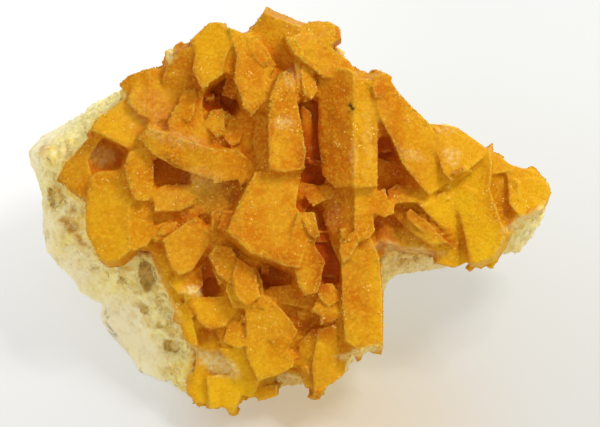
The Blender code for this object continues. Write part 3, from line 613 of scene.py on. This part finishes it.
def face_point(x, y, wide):
    """The place in mm where the crystals stand highest near a place in the photograph."""
    heights = []
    for dx, dy in ((0, 0), (-wide, 0), (wide, 0), (0, -wide), (0, wide)):
        start = world_place(x + dx, y + dy, WELL_CLEAR)
        hit = crystal_solid.ray_cast(Vector(start), Vector(-OUT))[0]
        if hit is not None:
            heights.append((np.array(hit) - FACE_MIDDLE) @ OUT)
    return world_place(x, y, np.mean(sorted(heights)[-3:]))


def placed_blades(rows):
    """The small blades of a table, as points and faces each."""
    made = []
    chance = np.random.default_rng(5)
    for x, y, long, wide, turn, right, up, proud in rows:
        ends = np.array(BLADE_ENDS) + chance.uniform(-0.22, 0.22, (len(BLADE_ENDS), 2))
        turn, right, up = (math.radians(angle) for angle in (turn, right, up))
        out = OUT + math.tan(right) * ACROSS + math.tan(up) * ALONG
        out /= np.linalg.norm(out)
        first = math.cos(turn) * ACROSS + math.sin(turn) * ALONG
        first -= out * (first @ out)
        first /= np.linalg.norm(first)
        second = np.cross(out, first)
        rim = [first * (long * PIXEL) * a + second * (wide * PIXEL) * b for a, b in ends]
        top = face_point(x, y, 0.6 * wide) + OUT * proud
        made.append(prism([top + r * 0.92 for r in rim],
                          [top + r * 1.04 - out * BLADE_DEPTH for r in rim]))
    return made


def crystal_form(mesh):
    """How much each point lies in a valley between crystals, and how much it looks to the left, for
    painted shade in the valleys and on the left-facing sides.
    """
    points, normals, ends = mesh_points(mesh), mesh_normals(mesh), mesh_edges(mesh)
    dip = ((averaged(points, ends, 10) - points) * normals).sum(axis=1)
    left = averaged(-normals[:, 0], ends, 3)
    valley = averaged(smooth(0.05, 0.30, dip), ends, 1)
    return np.stack((valley, smooth(0.15, 0.75, left)), axis=1)


def grow_crust(obj, known, values, ways):
    """Closes the crystals' narrow gaps, and joins in growth steps on the calm faces, chips on the
    backs and the small blades."""
    mesh = obj.data
    points, normals, ends = mesh_points(mesh), mesh_normals(mesh), mesh_edges(mesh)
    grown = averaged(filled(carried(values, known, points), normals), ends, 2)
    move_points(mesh, points + normals * grown[:, None])
    skins = [closed_over(obj, reach, sunk) for reach, sunk in SKINS]
    ground = known + ways * filled(values, ways)[:, None]
    chance = np.random.default_rng(3)
    free, bulge = values[:, 0], values[:, 2]
    calm = smooth(0.5, 0.8, free) * (1 - smooth(0.03, 0.09, np.abs(bulge)))
    added = small_blades(ground, ways, calm, chance, **GROWTH_STEPS)
    behind = smooth(0.2, 0.6, -(ways @ OUT)) * smooth(0.45, 0.7, free)
    behind *= smooth(1.2, 2.4, distances(matrix_solid, known))
    behind *= 1 - smooth(34, 37, known[:, 2])
    added += small_blades(ground, ways, behind, chance, **CHIPS)
    added += placed_blades(SMALL_BLADES)
    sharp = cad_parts["smithsonite_crystals"].data
    joined_in(obj, added, CRUST_VOXEL, [skin.data for skin in skins] + [sharp])
    for skin in skins:
        bpy.data.objects.remove(skin)


def roughen_crust(obj, known, values):
    """Gives the crystals slow waves, lumps, sugar and ragged edges, and takes out what faces it
    can spare, most of them where nothing is seen."""
    mesh = obj.data
    points, normals, ends = mesh_points(mesh), mesh_normals(mesh), mesh_edges(mesh)
    visible = smooth(0.06, 0.25, carried(values, known, points)[:, 0])
    # the sharp ridges and the inner corners, for painted highlights on the crests and painted shade
    # in the creases
    bulge = ((points - averaged(points, ends, 8)) * normals).sum(axis=1)
    edge = smooth(0.02, 0.09, bulge)
    seam = smooth(0.02, 0.08, -bulge)
    set_values(mesh, crest=averaged(edge, ends, 1), seam=averaged(seam, ends, 1))
    sugar = spots(pixels(points), SUGARY, 0.8)
    rough = smooth(-0.4, 0.3, clouds(points, 8, 5))
    rise = 0.10 * layered(points, 4.5, 11)
    rise += 0.08 * (facets(points, 1.7, 21) - 0.4) * (0.2 + 0.8 * rough)
    rise += 0.07 * (facets(points, 0.62, 31) - 0.4) * (0.1 + 0.4 * rough + 0.9 * sugar)
    push = normals * rise[:, None]
    push += 0.28 * drift(points, 0.45, 41) * (edge * (0.4 + sugar))[:, None]
    push *= (0.15 + 0.85 * visible)[:, None]
    points = points + push
    points[:, 2] = np.maximum(points[:, 2], 0)
    move_points(mesh, points)
    lightened(obj, MOST_TRIANGLES, visible)


def make_crust():
    """The crystals, with the values that their colours follow."""
    known, values, ways = sampled("smithsonite_crystals", 0.8)
    obj = refined("smithsonite_crystals", "smithsonite_blades", WORK_VOXEL)
    form, form_places = crystal_form(obj.data), mesh_points(obj.data)
    grow_crust(obj, known, values, ways)
    roughen_crust(obj, known, values)
    mesh = obj.data
    points = mesh_points(mesh)
    final = carried(values, known, points)
    valley, flank = carried(form, form_places, points).T
    grown = distances(crystal_solid, points)
    border = distances(matrix_solid, points)
    border = 1 - smooth(0.3, 1.5, border + 0.4 * clouds(points, 1.5, 71))
    points = settled(points)
    move_points(mesh, points)
    places = pixels(points + 0.5 * drift(points, 2.5, 61))
    on_blade = [(*row[:2], row[2] * 1.1, row[3] * 1.15, row[4], 1.0) for row in SMALL_BLADES]
    # painted shade: the floors that the skins laid in the gaps, away from the small blades
    pool = smooth(0.35, 1.1, grown) * (1 - spots(pixels(points), on_blade, 0.2))
    speck = spots(pixels(points), SPECKS, 0.3) * smooth(0, 0.2, mesh_normals(mesh) @ OUT)
    # values for the colours, among them painted shade by openness, valleys, left-facing sides, gap
    # floors and recess spots, and painted highlights on edges and milk-white spots
    set_values(mesh, pool=pool, speck=speck, near=final[:, 1], edge=smooth(0.02, 0.2, final[:, 2]),
               open=np.maximum(final[:, 0], 0.8 * border),
               valley=valley * (1 - 0.7 * border), flank=flank * (1 - 0.8 * border),
               yellow=np.maximum(spots(places, YELLOW, 0.6), 0.7 * border),
               red=spots(places, RED, 0.6), milky=spots(places, MILKY),
               sugar=spots(places, SUGARY, 0.8), olive=spots(places, OLIVE, 0.6))
    return obj


def pit_places(points):
    """Where the photograph shows the matrix, bent so that its pits get ragged rims."""
    return pixels(settled(points) + 0.7 * drift(points, 1.4, 96) + 0.4 * drift(points, 0.55, 99))


def bent_places(points):
    """The matrix's points, bent so that its vugs get ragged rims."""
    return points + 0.4 * drift(points, 1.3, 93)


def near_crust(points, to_crust):
    """How vuggy the matrix is for lying near the crystals, from 0 to 1."""
    return 1 - smooth(3.5, 9, to_crust + 2.5 * clouds(points, 6, 91))


def roughen_block(obj, known, values):
    """Gives the matrix lumps, vugs and pits, flakes on its broken sides and a lip where the
    crystals grow out of it, and takes out what faces it can spare."""
    mesh = obj.data
    points, ends = mesh_points(mesh), mesh_edges(mesh)
    points = averaged(points, ends, 16, (0.6, -0.63))
    move_points(mesh, points)
    normals = mesh_normals(mesh)
    visible = smooth(0.03, 0.2, carried(values, known, points)[:, 0])
    to_crust = distances(crystal_solid, points)
    vuggy = near_crust(points, to_crust)
    vuggy = np.maximum(vuggy, 0.7 * smooth(0.25, 0.5, clouds(points, 9, 92)))
    bent = bent_places(points)
    low = 0.55 * holes(bent, 2.6, 0.12, 94) + 0.35 * holes(bent, 1.2, 0.3, 95)
    low += 0.55 * smooth(0.15, 0.6, clouds(bent, 1.9, 98))
    low *= vuggy
    seen = smooth(0.0, 0.3, normals @ OUT)
    own = 0.7 * spots(pit_places(points), PITS, 0.35) * seen
    own *= 0.8 + 0.6 * clouds(points, 0.9, 100)
    rise = 0.55 * layered(points, 7, 51, 4) + 0.20 * layered(points, 1.6, 53)
    rise += 0.48 * (facets(points, 1.5, 61) - 0.4) * (0.15 + 0.85 * vuggy)
    rise += 0.42 * (facets(bent, 0.75, 62) - 0.4) * (0.15 + 0.85 * vuggy)
    hidden = 1 - smooth(-0.2, 0.4, normals @ OUT)
    flakes = fracture(points + 0.8 * drift(points, 3, 54), 10, 55) - 0.18
    chips = fracture(points + 0.3 * drift(points, 1.5, 57), 3.4, 56) - 0.18
    rise += (1.9 * flakes + 0.6 * chips) * (0.3 + 0.7 * hidden) * (1 - 0.5 * vuggy)
    rise -= np.maximum(low, own)
    rise += (0.8 + 0.5 * hidden) * (1 - smooth(0.3, 1.5, to_crust))
    rise *= 0.1 + 0.9 * visible
    points = points + normals * rise[:, None]
    points[:, 2] = np.maximum(points[:, 2], 0)
    move_points(mesh, points)
    lightened(obj, MOST_TRIANGLES, visible)


def make_block():
    """The matrix, with the values that its colours follow."""
    obj = refined("dolomite_matrix", "dolomite_block", BLOCK_VOXEL)
    known, values, _ = sampled("dolomite_matrix", 0.9)
    roughen_block(obj, known, values)
    mesh = obj.data
    points, normals = mesh_points(mesh), mesh_normals(mesh)
    seen = smooth(-0.1, 0.3, normals @ OUT)
    bent = bent_places(points)
    to_crust = distances(crystal_solid, points)
    move_points(mesh, settled(points))
    places = pixels(settled(points) + 0.5 * drift(points, 2.0, 61))
    vuggy = near_crust(points, to_crust)
    deep = np.maximum(holes(bent, 2.6, 0.12, 94), 0.5 * holes(bent, 1.2, 0.2, 95))
    deep = np.maximum(deep, 0.7 * smooth(0.15, 0.6, clouds(bent, 1.9, 98))) * vuggy
    deep = np.maximum(deep, np.minimum(spots(pit_places(points), PITS, 0.4), 1) * seen)
    set_values(mesh, open=carried(values, known, points)[:, 0], deep=deep, vuggy=vuggy,
               back=1 - smooth(-0.3, 0.1, normals @ OUT),
               rim=1 - smooth(0.2, 1.6, to_crust + 0.5 * clouds(points, 1.5, 97)),
               amber=spots(places, AMBER, 0.5) * seen, green=spots(places, GREEN, 0.6) * seen,
               grey=spots(places, GREY, 0.5) * seen, pink=spots(places, PINK, 0.6) * seen)
    return obj


def grown_druse(carrier, name, count, seed, sizes, wanted):
    """Small rhombs set into a carrier's skin, more of them where wanted is high. They take over
    its values, so that they are coloured as their ground."""
    chance = np.random.default_rng(seed)
    mesh = carrier.data
    corners = mesh_triangles(mesh)
    points = mesh_points(mesh)
    a, b, c = (points[corners[:, k]] for k in range(3))
    across = np.cross(b - a, c - a)
    area = np.linalg.norm(across, axis=1) / 2
    normals = across / np.maximum(area * 2, 1e-9)[:, None]
    weight = area * wanted[corners].mean(axis=1)
    picked = chance.choice(len(corners), count, p=weight / weight.sum())
    r1, r2 = np.sqrt(chance.random(count)), chance.random(count)
    shares = np.stack((1 - r1, r1 * (1 - r2), r1 * r2), axis=1)
    place = (points[corners[picked]] * shares[:, :, None]).sum(axis=1)
    size = sizes[0] + (sizes[1] - sizes[0]) * chance.random(count) ** 2
    # each rhomb's long axis leans out of the skin
    axis = normals[picked] + 0.75 * chance.normal(size=(count, 3))
    axis /= np.linalg.norm(axis, axis=1)[:, None]
    first = np.cross(axis, chance.normal(size=(count, 3)))
    first /= np.linalg.norm(first, axis=1)[:, None]
    second = np.cross(axis, first)
    long = 1.0 + 0.7 * chance.random(count)
    around = []
    for k in range(6):
        turn = math.radians(60 * k)
        flat = 0.62 * (first * math.cos(turn) + second * math.sin(turn))
        height = 0.22 if k % 2 else -0.22
        around.append(flat + axis * (height * long)[:, None])
    tips = [axis * (0.66 * long)[:, None], -axis * (0.66 * long)[:, None]]
    shape = np.stack(around + tips, axis=1) * size[:, None, None]
    shape += (place - normals[picked] * (0.45 * size)[:, None])[:, None, :]
    shape[:, :, 2] = np.maximum(shape[:, :, 2], 0)
    quads = np.array([(6, 1, 2, 3), (6, 3, 4, 5), (6, 5, 0, 1),
                      (7, 2, 1, 0), (7, 4, 3, 2), (7, 0, 5, 4)])
    faces = (quads[None] + (np.arange(count) * 8)[:, None, None]).reshape(-1, 4)
    made = bpy.data.meshes.new(name)
    made.from_pydata((shape.reshape(-1, 3) * MM).tolist(), [], faces.tolist())
    for ground in mesh.attributes:
        if ground.domain == "POINT" and ground.data_type == "FLOAT":
            own = (point_values(mesh, ground.name)[corners[picked]] * shares).sum(axis=1)
            set_values(made, **{ground.name: np.repeat(own, 8)})
    return linked(name, made)


def make_grains(crust):
    """The crystals' druse: most on their edges and in sugary places, milk-white patches and painted
    highlights.
    """
    edge, crest, sugar, milky, open_sky = (
        point_values(crust.data, name) for name in ("edge", "crest", "sugar", "milky", "open"))
    patches = smooth(-0.3, 0.4, clouds(mesh_points(crust.data), 6, 201))
    wanted = (smooth(0.15, 0.5, open_sky) * (0.2 + 1.5 * edge + 3.0 * crest)
              * (0.3 + 0.7 * patches) * (0.25 + 1.2 * sugar) + 0.5 * milky)
    return grown_druse(crust, "smithsonite_druse", GRAIN_COUNT, 7, GRAIN_SIZES, wanted)


def make_crumbs(block):
    """The matrix's druse: most where it is vuggy and open."""
    patches = smooth(-0.3, 0.4, clouds(mesh_points(block.data), 3, 202))
    wanted = (smooth(0.1, 0.4, point_values(block.data, "open"))
              * (0.03 + point_values(block.data, "vuggy")) * (0.2 + patches))
    return grown_druse(block, "dolomite_druse", CRUMB_COUNT, 8, CRUMB_SIZES, wanted)


# materials

DEEP_ORANGE = (0.56, 0.15, 0.002)
# how far the grain stands out, in metres
GRAIN_BUMP = 0.0001


class Nodes:
    """The nodes of a material or a world, with a short way to add and join them."""

    def __init__(self, owner, shader="Principled BSDF", place="Object"):
        self.owner = owner
        owner.use_nodes = True
        self.tree = owner.node_tree
        self.shader = self.tree.nodes[shader]
        self.place = self.add("ShaderNodeTexCoord").outputs[place]

    def add(self, kind, inputs=None, **settings):
        node = self.tree.nodes.new(kind)
        for key, value in settings.items():
            setattr(node, key, value)
        for key, value in (inputs or {}).items():
            if isinstance(value, bpy.types.NodeSocket):
                self.tree.links.new(value, node.inputs[key])
            else:
                node.inputs[key].default_value = value
        return node

    def noise(self, scale, detail=3.0, rough=0.55):
        node = self.add("ShaderNodeTexNoise", {"Vector": self.place, "Scale": scale,
                                               "Detail": detail, "Roughness": rough})
        return node.outputs["Fac"]

    def grains(self, scale):
        return self.add("ShaderNodeTexVoronoi", {"Vector": self.place, "Scale": scale})

    def value(self, name):
        return self.add("ShaderNodeAttribute", attribute_name=name).outputs["Fac"]

    def between(self, value, low, high, to_low=0.0, to_high=1.0):
        node = self.add("ShaderNodeMapRange", {"Value": value, "From Min": low, "From Max": high,
                                               "To Min": to_low, "To Max": to_high},
                        interpolation_type="SMOOTHSTEP")
        return node.outputs["Result"]

    def math(self, how, a, b=0.5):
        return self.add("ShaderNodeMath", {0: a, 1: b}, operation=how).outputs[0]

    def channel(self, colour, which):
        return self.add("ShaderNodeSeparateColor", {0: colour}).outputs[which]

    def mix(self, share, a, b, blend="MIX"):
        a, b = (c if isinstance(c, bpy.types.NodeSocket) else (*c, 1) for c in (a, b))
        node = self.add("ShaderNodeMix", {0: share, 6: a, 7: b}, data_type="RGBA", blend_type=blend)
        return node.outputs[2]

    def tint(self, body, share, strength, colour):
        """A colour with another mixed in, by a share times a strength."""
        return self.mix(self.math("MULTIPLY", share, strength), body, colour)

    def vector(self, how, **inputs):
        """A vector sum of a and b, or a scaled by scale."""
        sockets = {"a": 0, "b": 1, "scale": "Scale"}
        named = {sockets[key]: value for key, value in inputs.items()}
        return self.add("ShaderNodeVectorMath", named, operation=how).outputs[0]

    def tilted(self, colour, strength):
        """The surface's own direction, leaned a little in each grain."""
        lean = self.vector("SUBTRACT", a=colour, b=(0.5, 0.5, 0.5))
        lean = self.vector("SCALE", a=lean, scale=strength)
        straight = self.add("ShaderNodeNewGeometry").outputs["Normal"]
        return self.vector("NORMALIZE", a=self.vector("ADD", a=straight, b=lean))

    def bump(self, grains, strength, **more):
        """Makes each grain stand out of the surface."""
        inputs = {"Height": grains.outputs["Distance"], "Strength": strength,
                  "Distance": GRAIN_BUMP, **more}
        self.link(self.add("ShaderNodeBump", inputs, invert=True).outputs[0], "Normal")

    def link(self, value, socket):
        self.tree.links.new(value, self.shader.inputs[socket])

    def set(self, **values):
        for key, value in values.items():
            self.shader.inputs[key.replace("_", " ")].default_value = value


def crystal_material(name, pale):
    """Smithsonite: orange to yellow, with fine sugary grain, painted shade that turns its sides,
    valleys and recesses deep orange to reddish brown, and painted highlights and glints.
    pale is how much lighter than its ground the grain is, a painted lift that also evens out the
    grains' own shade."""
    m = Nodes(bpy.data.materials.new(name))
    open_sky = m.value("open")
    near = m.value("near")
    grains = m.grains(2600)
    fine = m.grains(5600)
    shade = m.channel(grains.outputs["Color"], 0)
    spark = m.channel(fine.outputs["Color"], 1)
    # the blades' faces, in soft patches
    gold = m.mix(m.between(m.noise(240, 2.0), 0.35, 0.65), (0.61, 0.20, 0.003), (0.69, 0.31, 0.010))
    yellow = m.mix(m.between(m.noise(260), 0.35, 0.7), (0.80, 0.45, 0.008), (0.77, 0.39, 0.006))
    body = m.mix(m.value("yellow"), gold, yellow)
    # painted highlight: edges a little lighter and more yellow, as where light passes through
    body = m.tint(body, m.value("edge"), 0.2, (0.80, 0.44, 0.02))
    body = m.tint(body, m.between(m.noise(140), 0.50, 0.72), 0.35, (0.64, 0.21, 0.003))
    body = m.tint(body, m.between(m.noise(600), 0.45, 0.8), 0.15, (0.64, 0.22, 0.003))
    # painted shade: darker sides where little sky is open, deep orange near gaps, darker
    # left-facing sides, valleys, gap floors, recess spots, creases and the deepest recesses
    flank = m.mix(m.between(m.noise(300), 0.35, 0.7), (0.60, 0.155, 0.002), (0.64, 0.20, 0.003))
    body = m.mix(m.between(open_sky, 0.50, 0.98), flank, body)
    body = m.mix(m.between(near, 0.55, 0.95, 0.6, 0.0), body, DEEP_ORANGE)
    body = m.tint(body, m.value("flank"), 0.6, (0.50, 0.11, 0.001))
    body = m.tint(body, m.value("valley"), 0.7, (0.48, 0.085, 0.001))
    body = m.mix(m.between(open_sky, 0.18, 0.52), (0.44, 0.06, 0.001), body)
    body = m.tint(body, m.value("yellow"), 0.3, (0.82, 0.45, 0.006))
    # painted shade on the gap floors
    body = m.tint(body, m.value("pool"), 0.85, (0.36, 0.042, 0.001))
    # painted shade from the recess spots
    body = m.tint(body, m.value("red"), 0.7, (0.36, 0.04, 0.001))
    # painted shade in the creases between blades
    body = m.tint(body, m.value("seam"), 0.6, (0.40, 0.065, 0.001))
    # painted highlights on the crests, olive stains, and the light and dark of the grain, with
    # fewer light grains in the recesses as painted shade
    crisp = m.math("MULTIPLY", m.value("crest"), m.between(m.noise(1100, 2.0), 0.35, 0.6, 0.3, 1.0))
    body = m.tint(body, crisp, 0.7, (0.92, 0.60, 0.09))
    olive = m.mix(m.between(m.noise(900), 0.35, 0.7), (0.44, 0.24, 0.02), (0.62, 0.33, 0.03))
    body = m.mix(m.value("olive"), body, olive)
    body = m.tint(body, m.between(shade, 0.4, 1.0), m.between(near, 0.3, 0.8, 0.05, 0.30),
                  (0.84, 0.48, 0.025))
    body = m.tint(body, m.between(shade, 0.5, 0.0), 0.16, DEEP_ORANGE)
    # milk-white patches with painted highlights, painted glints and the speck
    milk = m.math("MULTIPLY", m.value("milky"), m.between(m.noise(1500, 3.0), 0.40, 0.62, 0.1, 1.0))
    body = m.mix(m.math("POWER", m.value("milky"), 2.0), body, (0.84, 0.57, 0.12))
    body = m.tint(body, milk, 0.85, (0.92, 0.74, 0.34))
    # painted glints: pale yellow flecks on open faces
    glint = m.math("MULTIPLY", m.between(spark, 0.97, 0.99), m.between(m.noise(260), 0.48, 0.62))
    glint = m.math("MULTIPLY", glint, m.between(open_sky, 0.3, 0.6))
    body = m.tint(body, glint, 0.6, (1.0, 0.80, 0.26))
    body = m.tint(body, m.value("speck"), 0.95, (0.03, 0.015, 0.01))
    # painted lift: the druse's grains made lighter than their ground, partly to even out their own
    # shade
    body = m.mix(pale, body, (0.80, 0.45, 0.035))
    m.link(body, "Base Color")
    m.link(m.between(shade, 0.0, 1.0, 0.30, 0.60), "Roughness")
    m.bump(grains, 0.45, Normal=m.tilted(fine.outputs["Color"], 0.4))
    m.set(IOR=1.62, Specular_IOR_Level=0.03, Subsurface_Weight=0.3,
          Subsurface_Radius=(1.0, 0.36, 0.05), Subsurface_Scale=0.0007)
    return m.owner


def matrix_material(name, pale):
    """Dolomite: cream, with olive pits, amber stains and sugary grain. pale is how much lighter
    than its ground the grain is."""
    m = Nodes(bpy.data.materials.new(name))
    open_sky = m.value("open")
    grains = m.grains(2300)
    shade = m.channel(grains.outputs["Color"], 0)
    spark = m.channel(grains.outputs["Color"], 1)
    # the rock, massive or loose
    massive = m.mix(m.between(m.noise(120), 0.35, 0.68), (0.97, 0.83, 0.44), (1.0, 0.91, 0.58))
    massive = m.mix(m.between(m.noise(70, 5.0), 0.46, 0.66, 0.0, 0.6), massive, (0.85, 0.74, 0.44))
    massive = m.mix(m.between(m.noise(95, 5.0), 0.56, 0.72, 0.0, 0.5), massive, (0.90, 0.68, 0.30))
    loose = m.mix(m.between(m.noise(260), 0.35, 0.65), (1.0, 0.86, 0.34), (0.98, 0.77, 0.18))
    body = m.mix(m.value("vuggy"), massive, loose)
    body = m.tint(body, m.between(m.noise(520, 5.0), 0.50, 0.66), 0.45, (0.74, 0.56, 0.15))
    # its stains, the pits and the golden rim next to the crystals
    body = m.tint(body, m.value("pink"), 0.6, (0.90, 0.76, 0.54))
    green = m.mix(m.between(m.noise(800), 0.35, 0.65), (0.66, 0.56, 0.16), (0.88, 0.78, 0.36))
    body = m.tint(body, m.value("green"), 0.7, green)
    hollow = m.mix(m.between(m.noise(900, 5.0), 0.42, 0.60), (0.58, 0.34, 0.04), (0.92, 0.72, 0.20))
    body = m.tint(body, m.value("deep"), 0.9, hollow)
    amber = m.mix(m.between(m.noise(900), 0.3, 0.7), (0.66, 0.34, 0.03), (0.84, 0.54, 0.08))
    body = m.mix(m.value("amber"), body, amber)
    body = m.tint(body, m.value("rim"), 0.8, (0.90, 0.58, 0.05))
    # the grey thread, painted shade where little sky is open, and the grain with painted glints
    body = m.tint(body, m.value("grey"), m.between(m.noise(1300, 4.0), 0.42, 0.60, 0.15, 1.0),
                  (0.20, 0.22, 0.20))
    body = m.mix(m.between(open_sky, 0.10, 0.45), (0.58, 0.34, 0.05), body)
    body = m.tint(body, m.between(shade, 0.5, 1.0), 0.3, (0.98, 0.88, 0.55))
    body = m.tint(body, m.between(spark, 0.90, 0.97), 0.3, (1.0, 0.96, 0.80))
    body = m.mix(pale, body, (1.0, 0.92, 0.60))
    body = m.mix(m.value("back"), body, (0.84, 0.81, 0.80), "MULTIPLY")
    m.link(body, "Base Color")
    m.link(m.between(shade, 0.0, 1.0, 0.42, 0.75), "Roughness")
    m.bump(grains, 0.5)
    m.set(IOR=1.6, Specular_IOR_Level=0.3, Subsurface_Weight=0.25,
          Subsurface_Radius=(1.0, 0.8, 0.5), Subsurface_Scale=0.0008)
    return m.owner


def finished(piece, node, material, soft):
    """Rides on the body, stands for its node and has its material."""
    piece.data.materials.clear()
    piece.data.materials.append(material)
    if soft:
        piece.data.shade_smooth()
    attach(piece, "root")
    if node:
        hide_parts(node)


crust = make_crust()
block = make_block()
druse = make_grains(crust)
crumbs = make_crumbs(block)
finished(crust, "smithsonite_crystals", crystal_material("smithsonite", 0.0), True)
finished(druse, None, crystal_material("smithsonite_sugar", 0.18), False)
finished(block, "dolomite_matrix", matrix_material("dolomite", 0.0), True)
finished(crumbs, None, matrix_material("dolomite_sugar", 0.25), False)


# floor, light and camera

def make_stage():
    """A pale sheet that glows, darker towards the viewer and on the right as painted shade, with a
    painted glow of the crystals' colour in front for the light they throw on it.
    """
    reach = 3.0
    corners = [(x * reach, y * reach, 0) for x, y in ((-1, -1), (1, -1), (1, 1), (-1, 1))]
    mesh = bpy.data.meshes.new("floor")
    mesh.from_pydata(corners, [], [(0, 1, 2, 3)])
    floor = linked("floor", mesh)
    m = Nodes(bpy.data.materials.new("paper"))
    place = m.add("ShaderNodeSeparateXYZ", {0: m.place})
    back = m.between(place.outputs[1], -0.040, 0.060)
    left = m.between(place.outputs[0], 0.030, -0.050)
    near = m.mix(left, (0.38, 0.36, 0.31), (0.48, 0.48, 0.465))
    far = m.mix(left, (0.53, 0.535, 0.51), (0.74, 0.74, 0.73))
    gap = m.add("ShaderNodeVectorMath", {0: m.place, 1: (0.008, -0.030, 0)}, operation="DISTANCE")
    glow = m.between(gap.outputs["Value"], 0.032, 0.004)
    # painted shade and painted reflected light in the floor's glow
    m.link(m.mix(glow, m.mix(back, near, far), (0.40, 0.295, 0.145)), "Emission Color")
    m.set(Base_Color=(0.32, 0.32, 0.32, 1), Roughness=0.7, Emission_Strength=1.0,
          Specular_IOR_Level=0.1)
    mesh.materials.append(m.owner)


def area_light(name, place, aim, size, power):
    data = bpy.data.lights.new(name, "AREA")
    data.shape = "DISK"
    data.size = size
    data.energy = power
    light = linked(name, data)
    light.location = place
    light.rotation_euler = (Vector(place) - Vector(aim)).to_track_quat("Z", "Y").to_euler()


def make_camera():
    """Looks square on to the crystal face, from far off."""
    data = bpy.data.cameras.new("camera")
    data.lens = 400
    data.sensor_width = 36
    camera = linked("camera", data)
    # the picture's middle is this far from the face's, in pixels
    right, up = 10, 1.5
    middle = FACE_MIDDLE + ACROSS * (right * PIXEL) + ALONG * (up * PIXEL)
    away = PICTURE_WIDTH * PIXEL * data.lens / data.sensor_width
    camera.location = Vector((middle + OUT * away) * MM)
    camera.rotation_euler = (math.pi / 2 - FACE_RISE, 0, 0)
    data.clip_start = 0.01
    data.clip_end = 10
    bpy.context.scene.camera = camera


def make_surroundings():
    """A white tent, very slightly dimmer on the right and above."""
    world = bpy.data.worlds.new("surroundings")
    bpy.context.scene.world = world
    m = Nodes(world, "Background", "Generated")
    dimmer = Vector((0.62, 0.25, 0.74)).normalized()
    towards = m.add("ShaderNodeVectorMath", {0: m.place, 1: dimmer}, operation="DOT_PRODUCT")
    strength = m.add("ShaderNodeMapRange", {"Value": towards.outputs["Value"], "From Min": -0.6,
                                            "From Max": 1.0, "To Min": 0.80, "To Max": 0.78})
    m.link(strength.outputs["Result"], "Strength")
    m.set(Color=(1.0, 1.0, 1.0, 1))


make_stage()
area_light("overhead", (0.28, 0.06, 0.46), (0, 0, 0.02), 0.14, 1.1)
area_light("glint", (0.20, 0.10, 0.50), (0, 0, 0.02), 0.04, 0.35)
make_surroundings()
make_camera()
bpy.context.scene.view_settings.view_transform = "Standard"
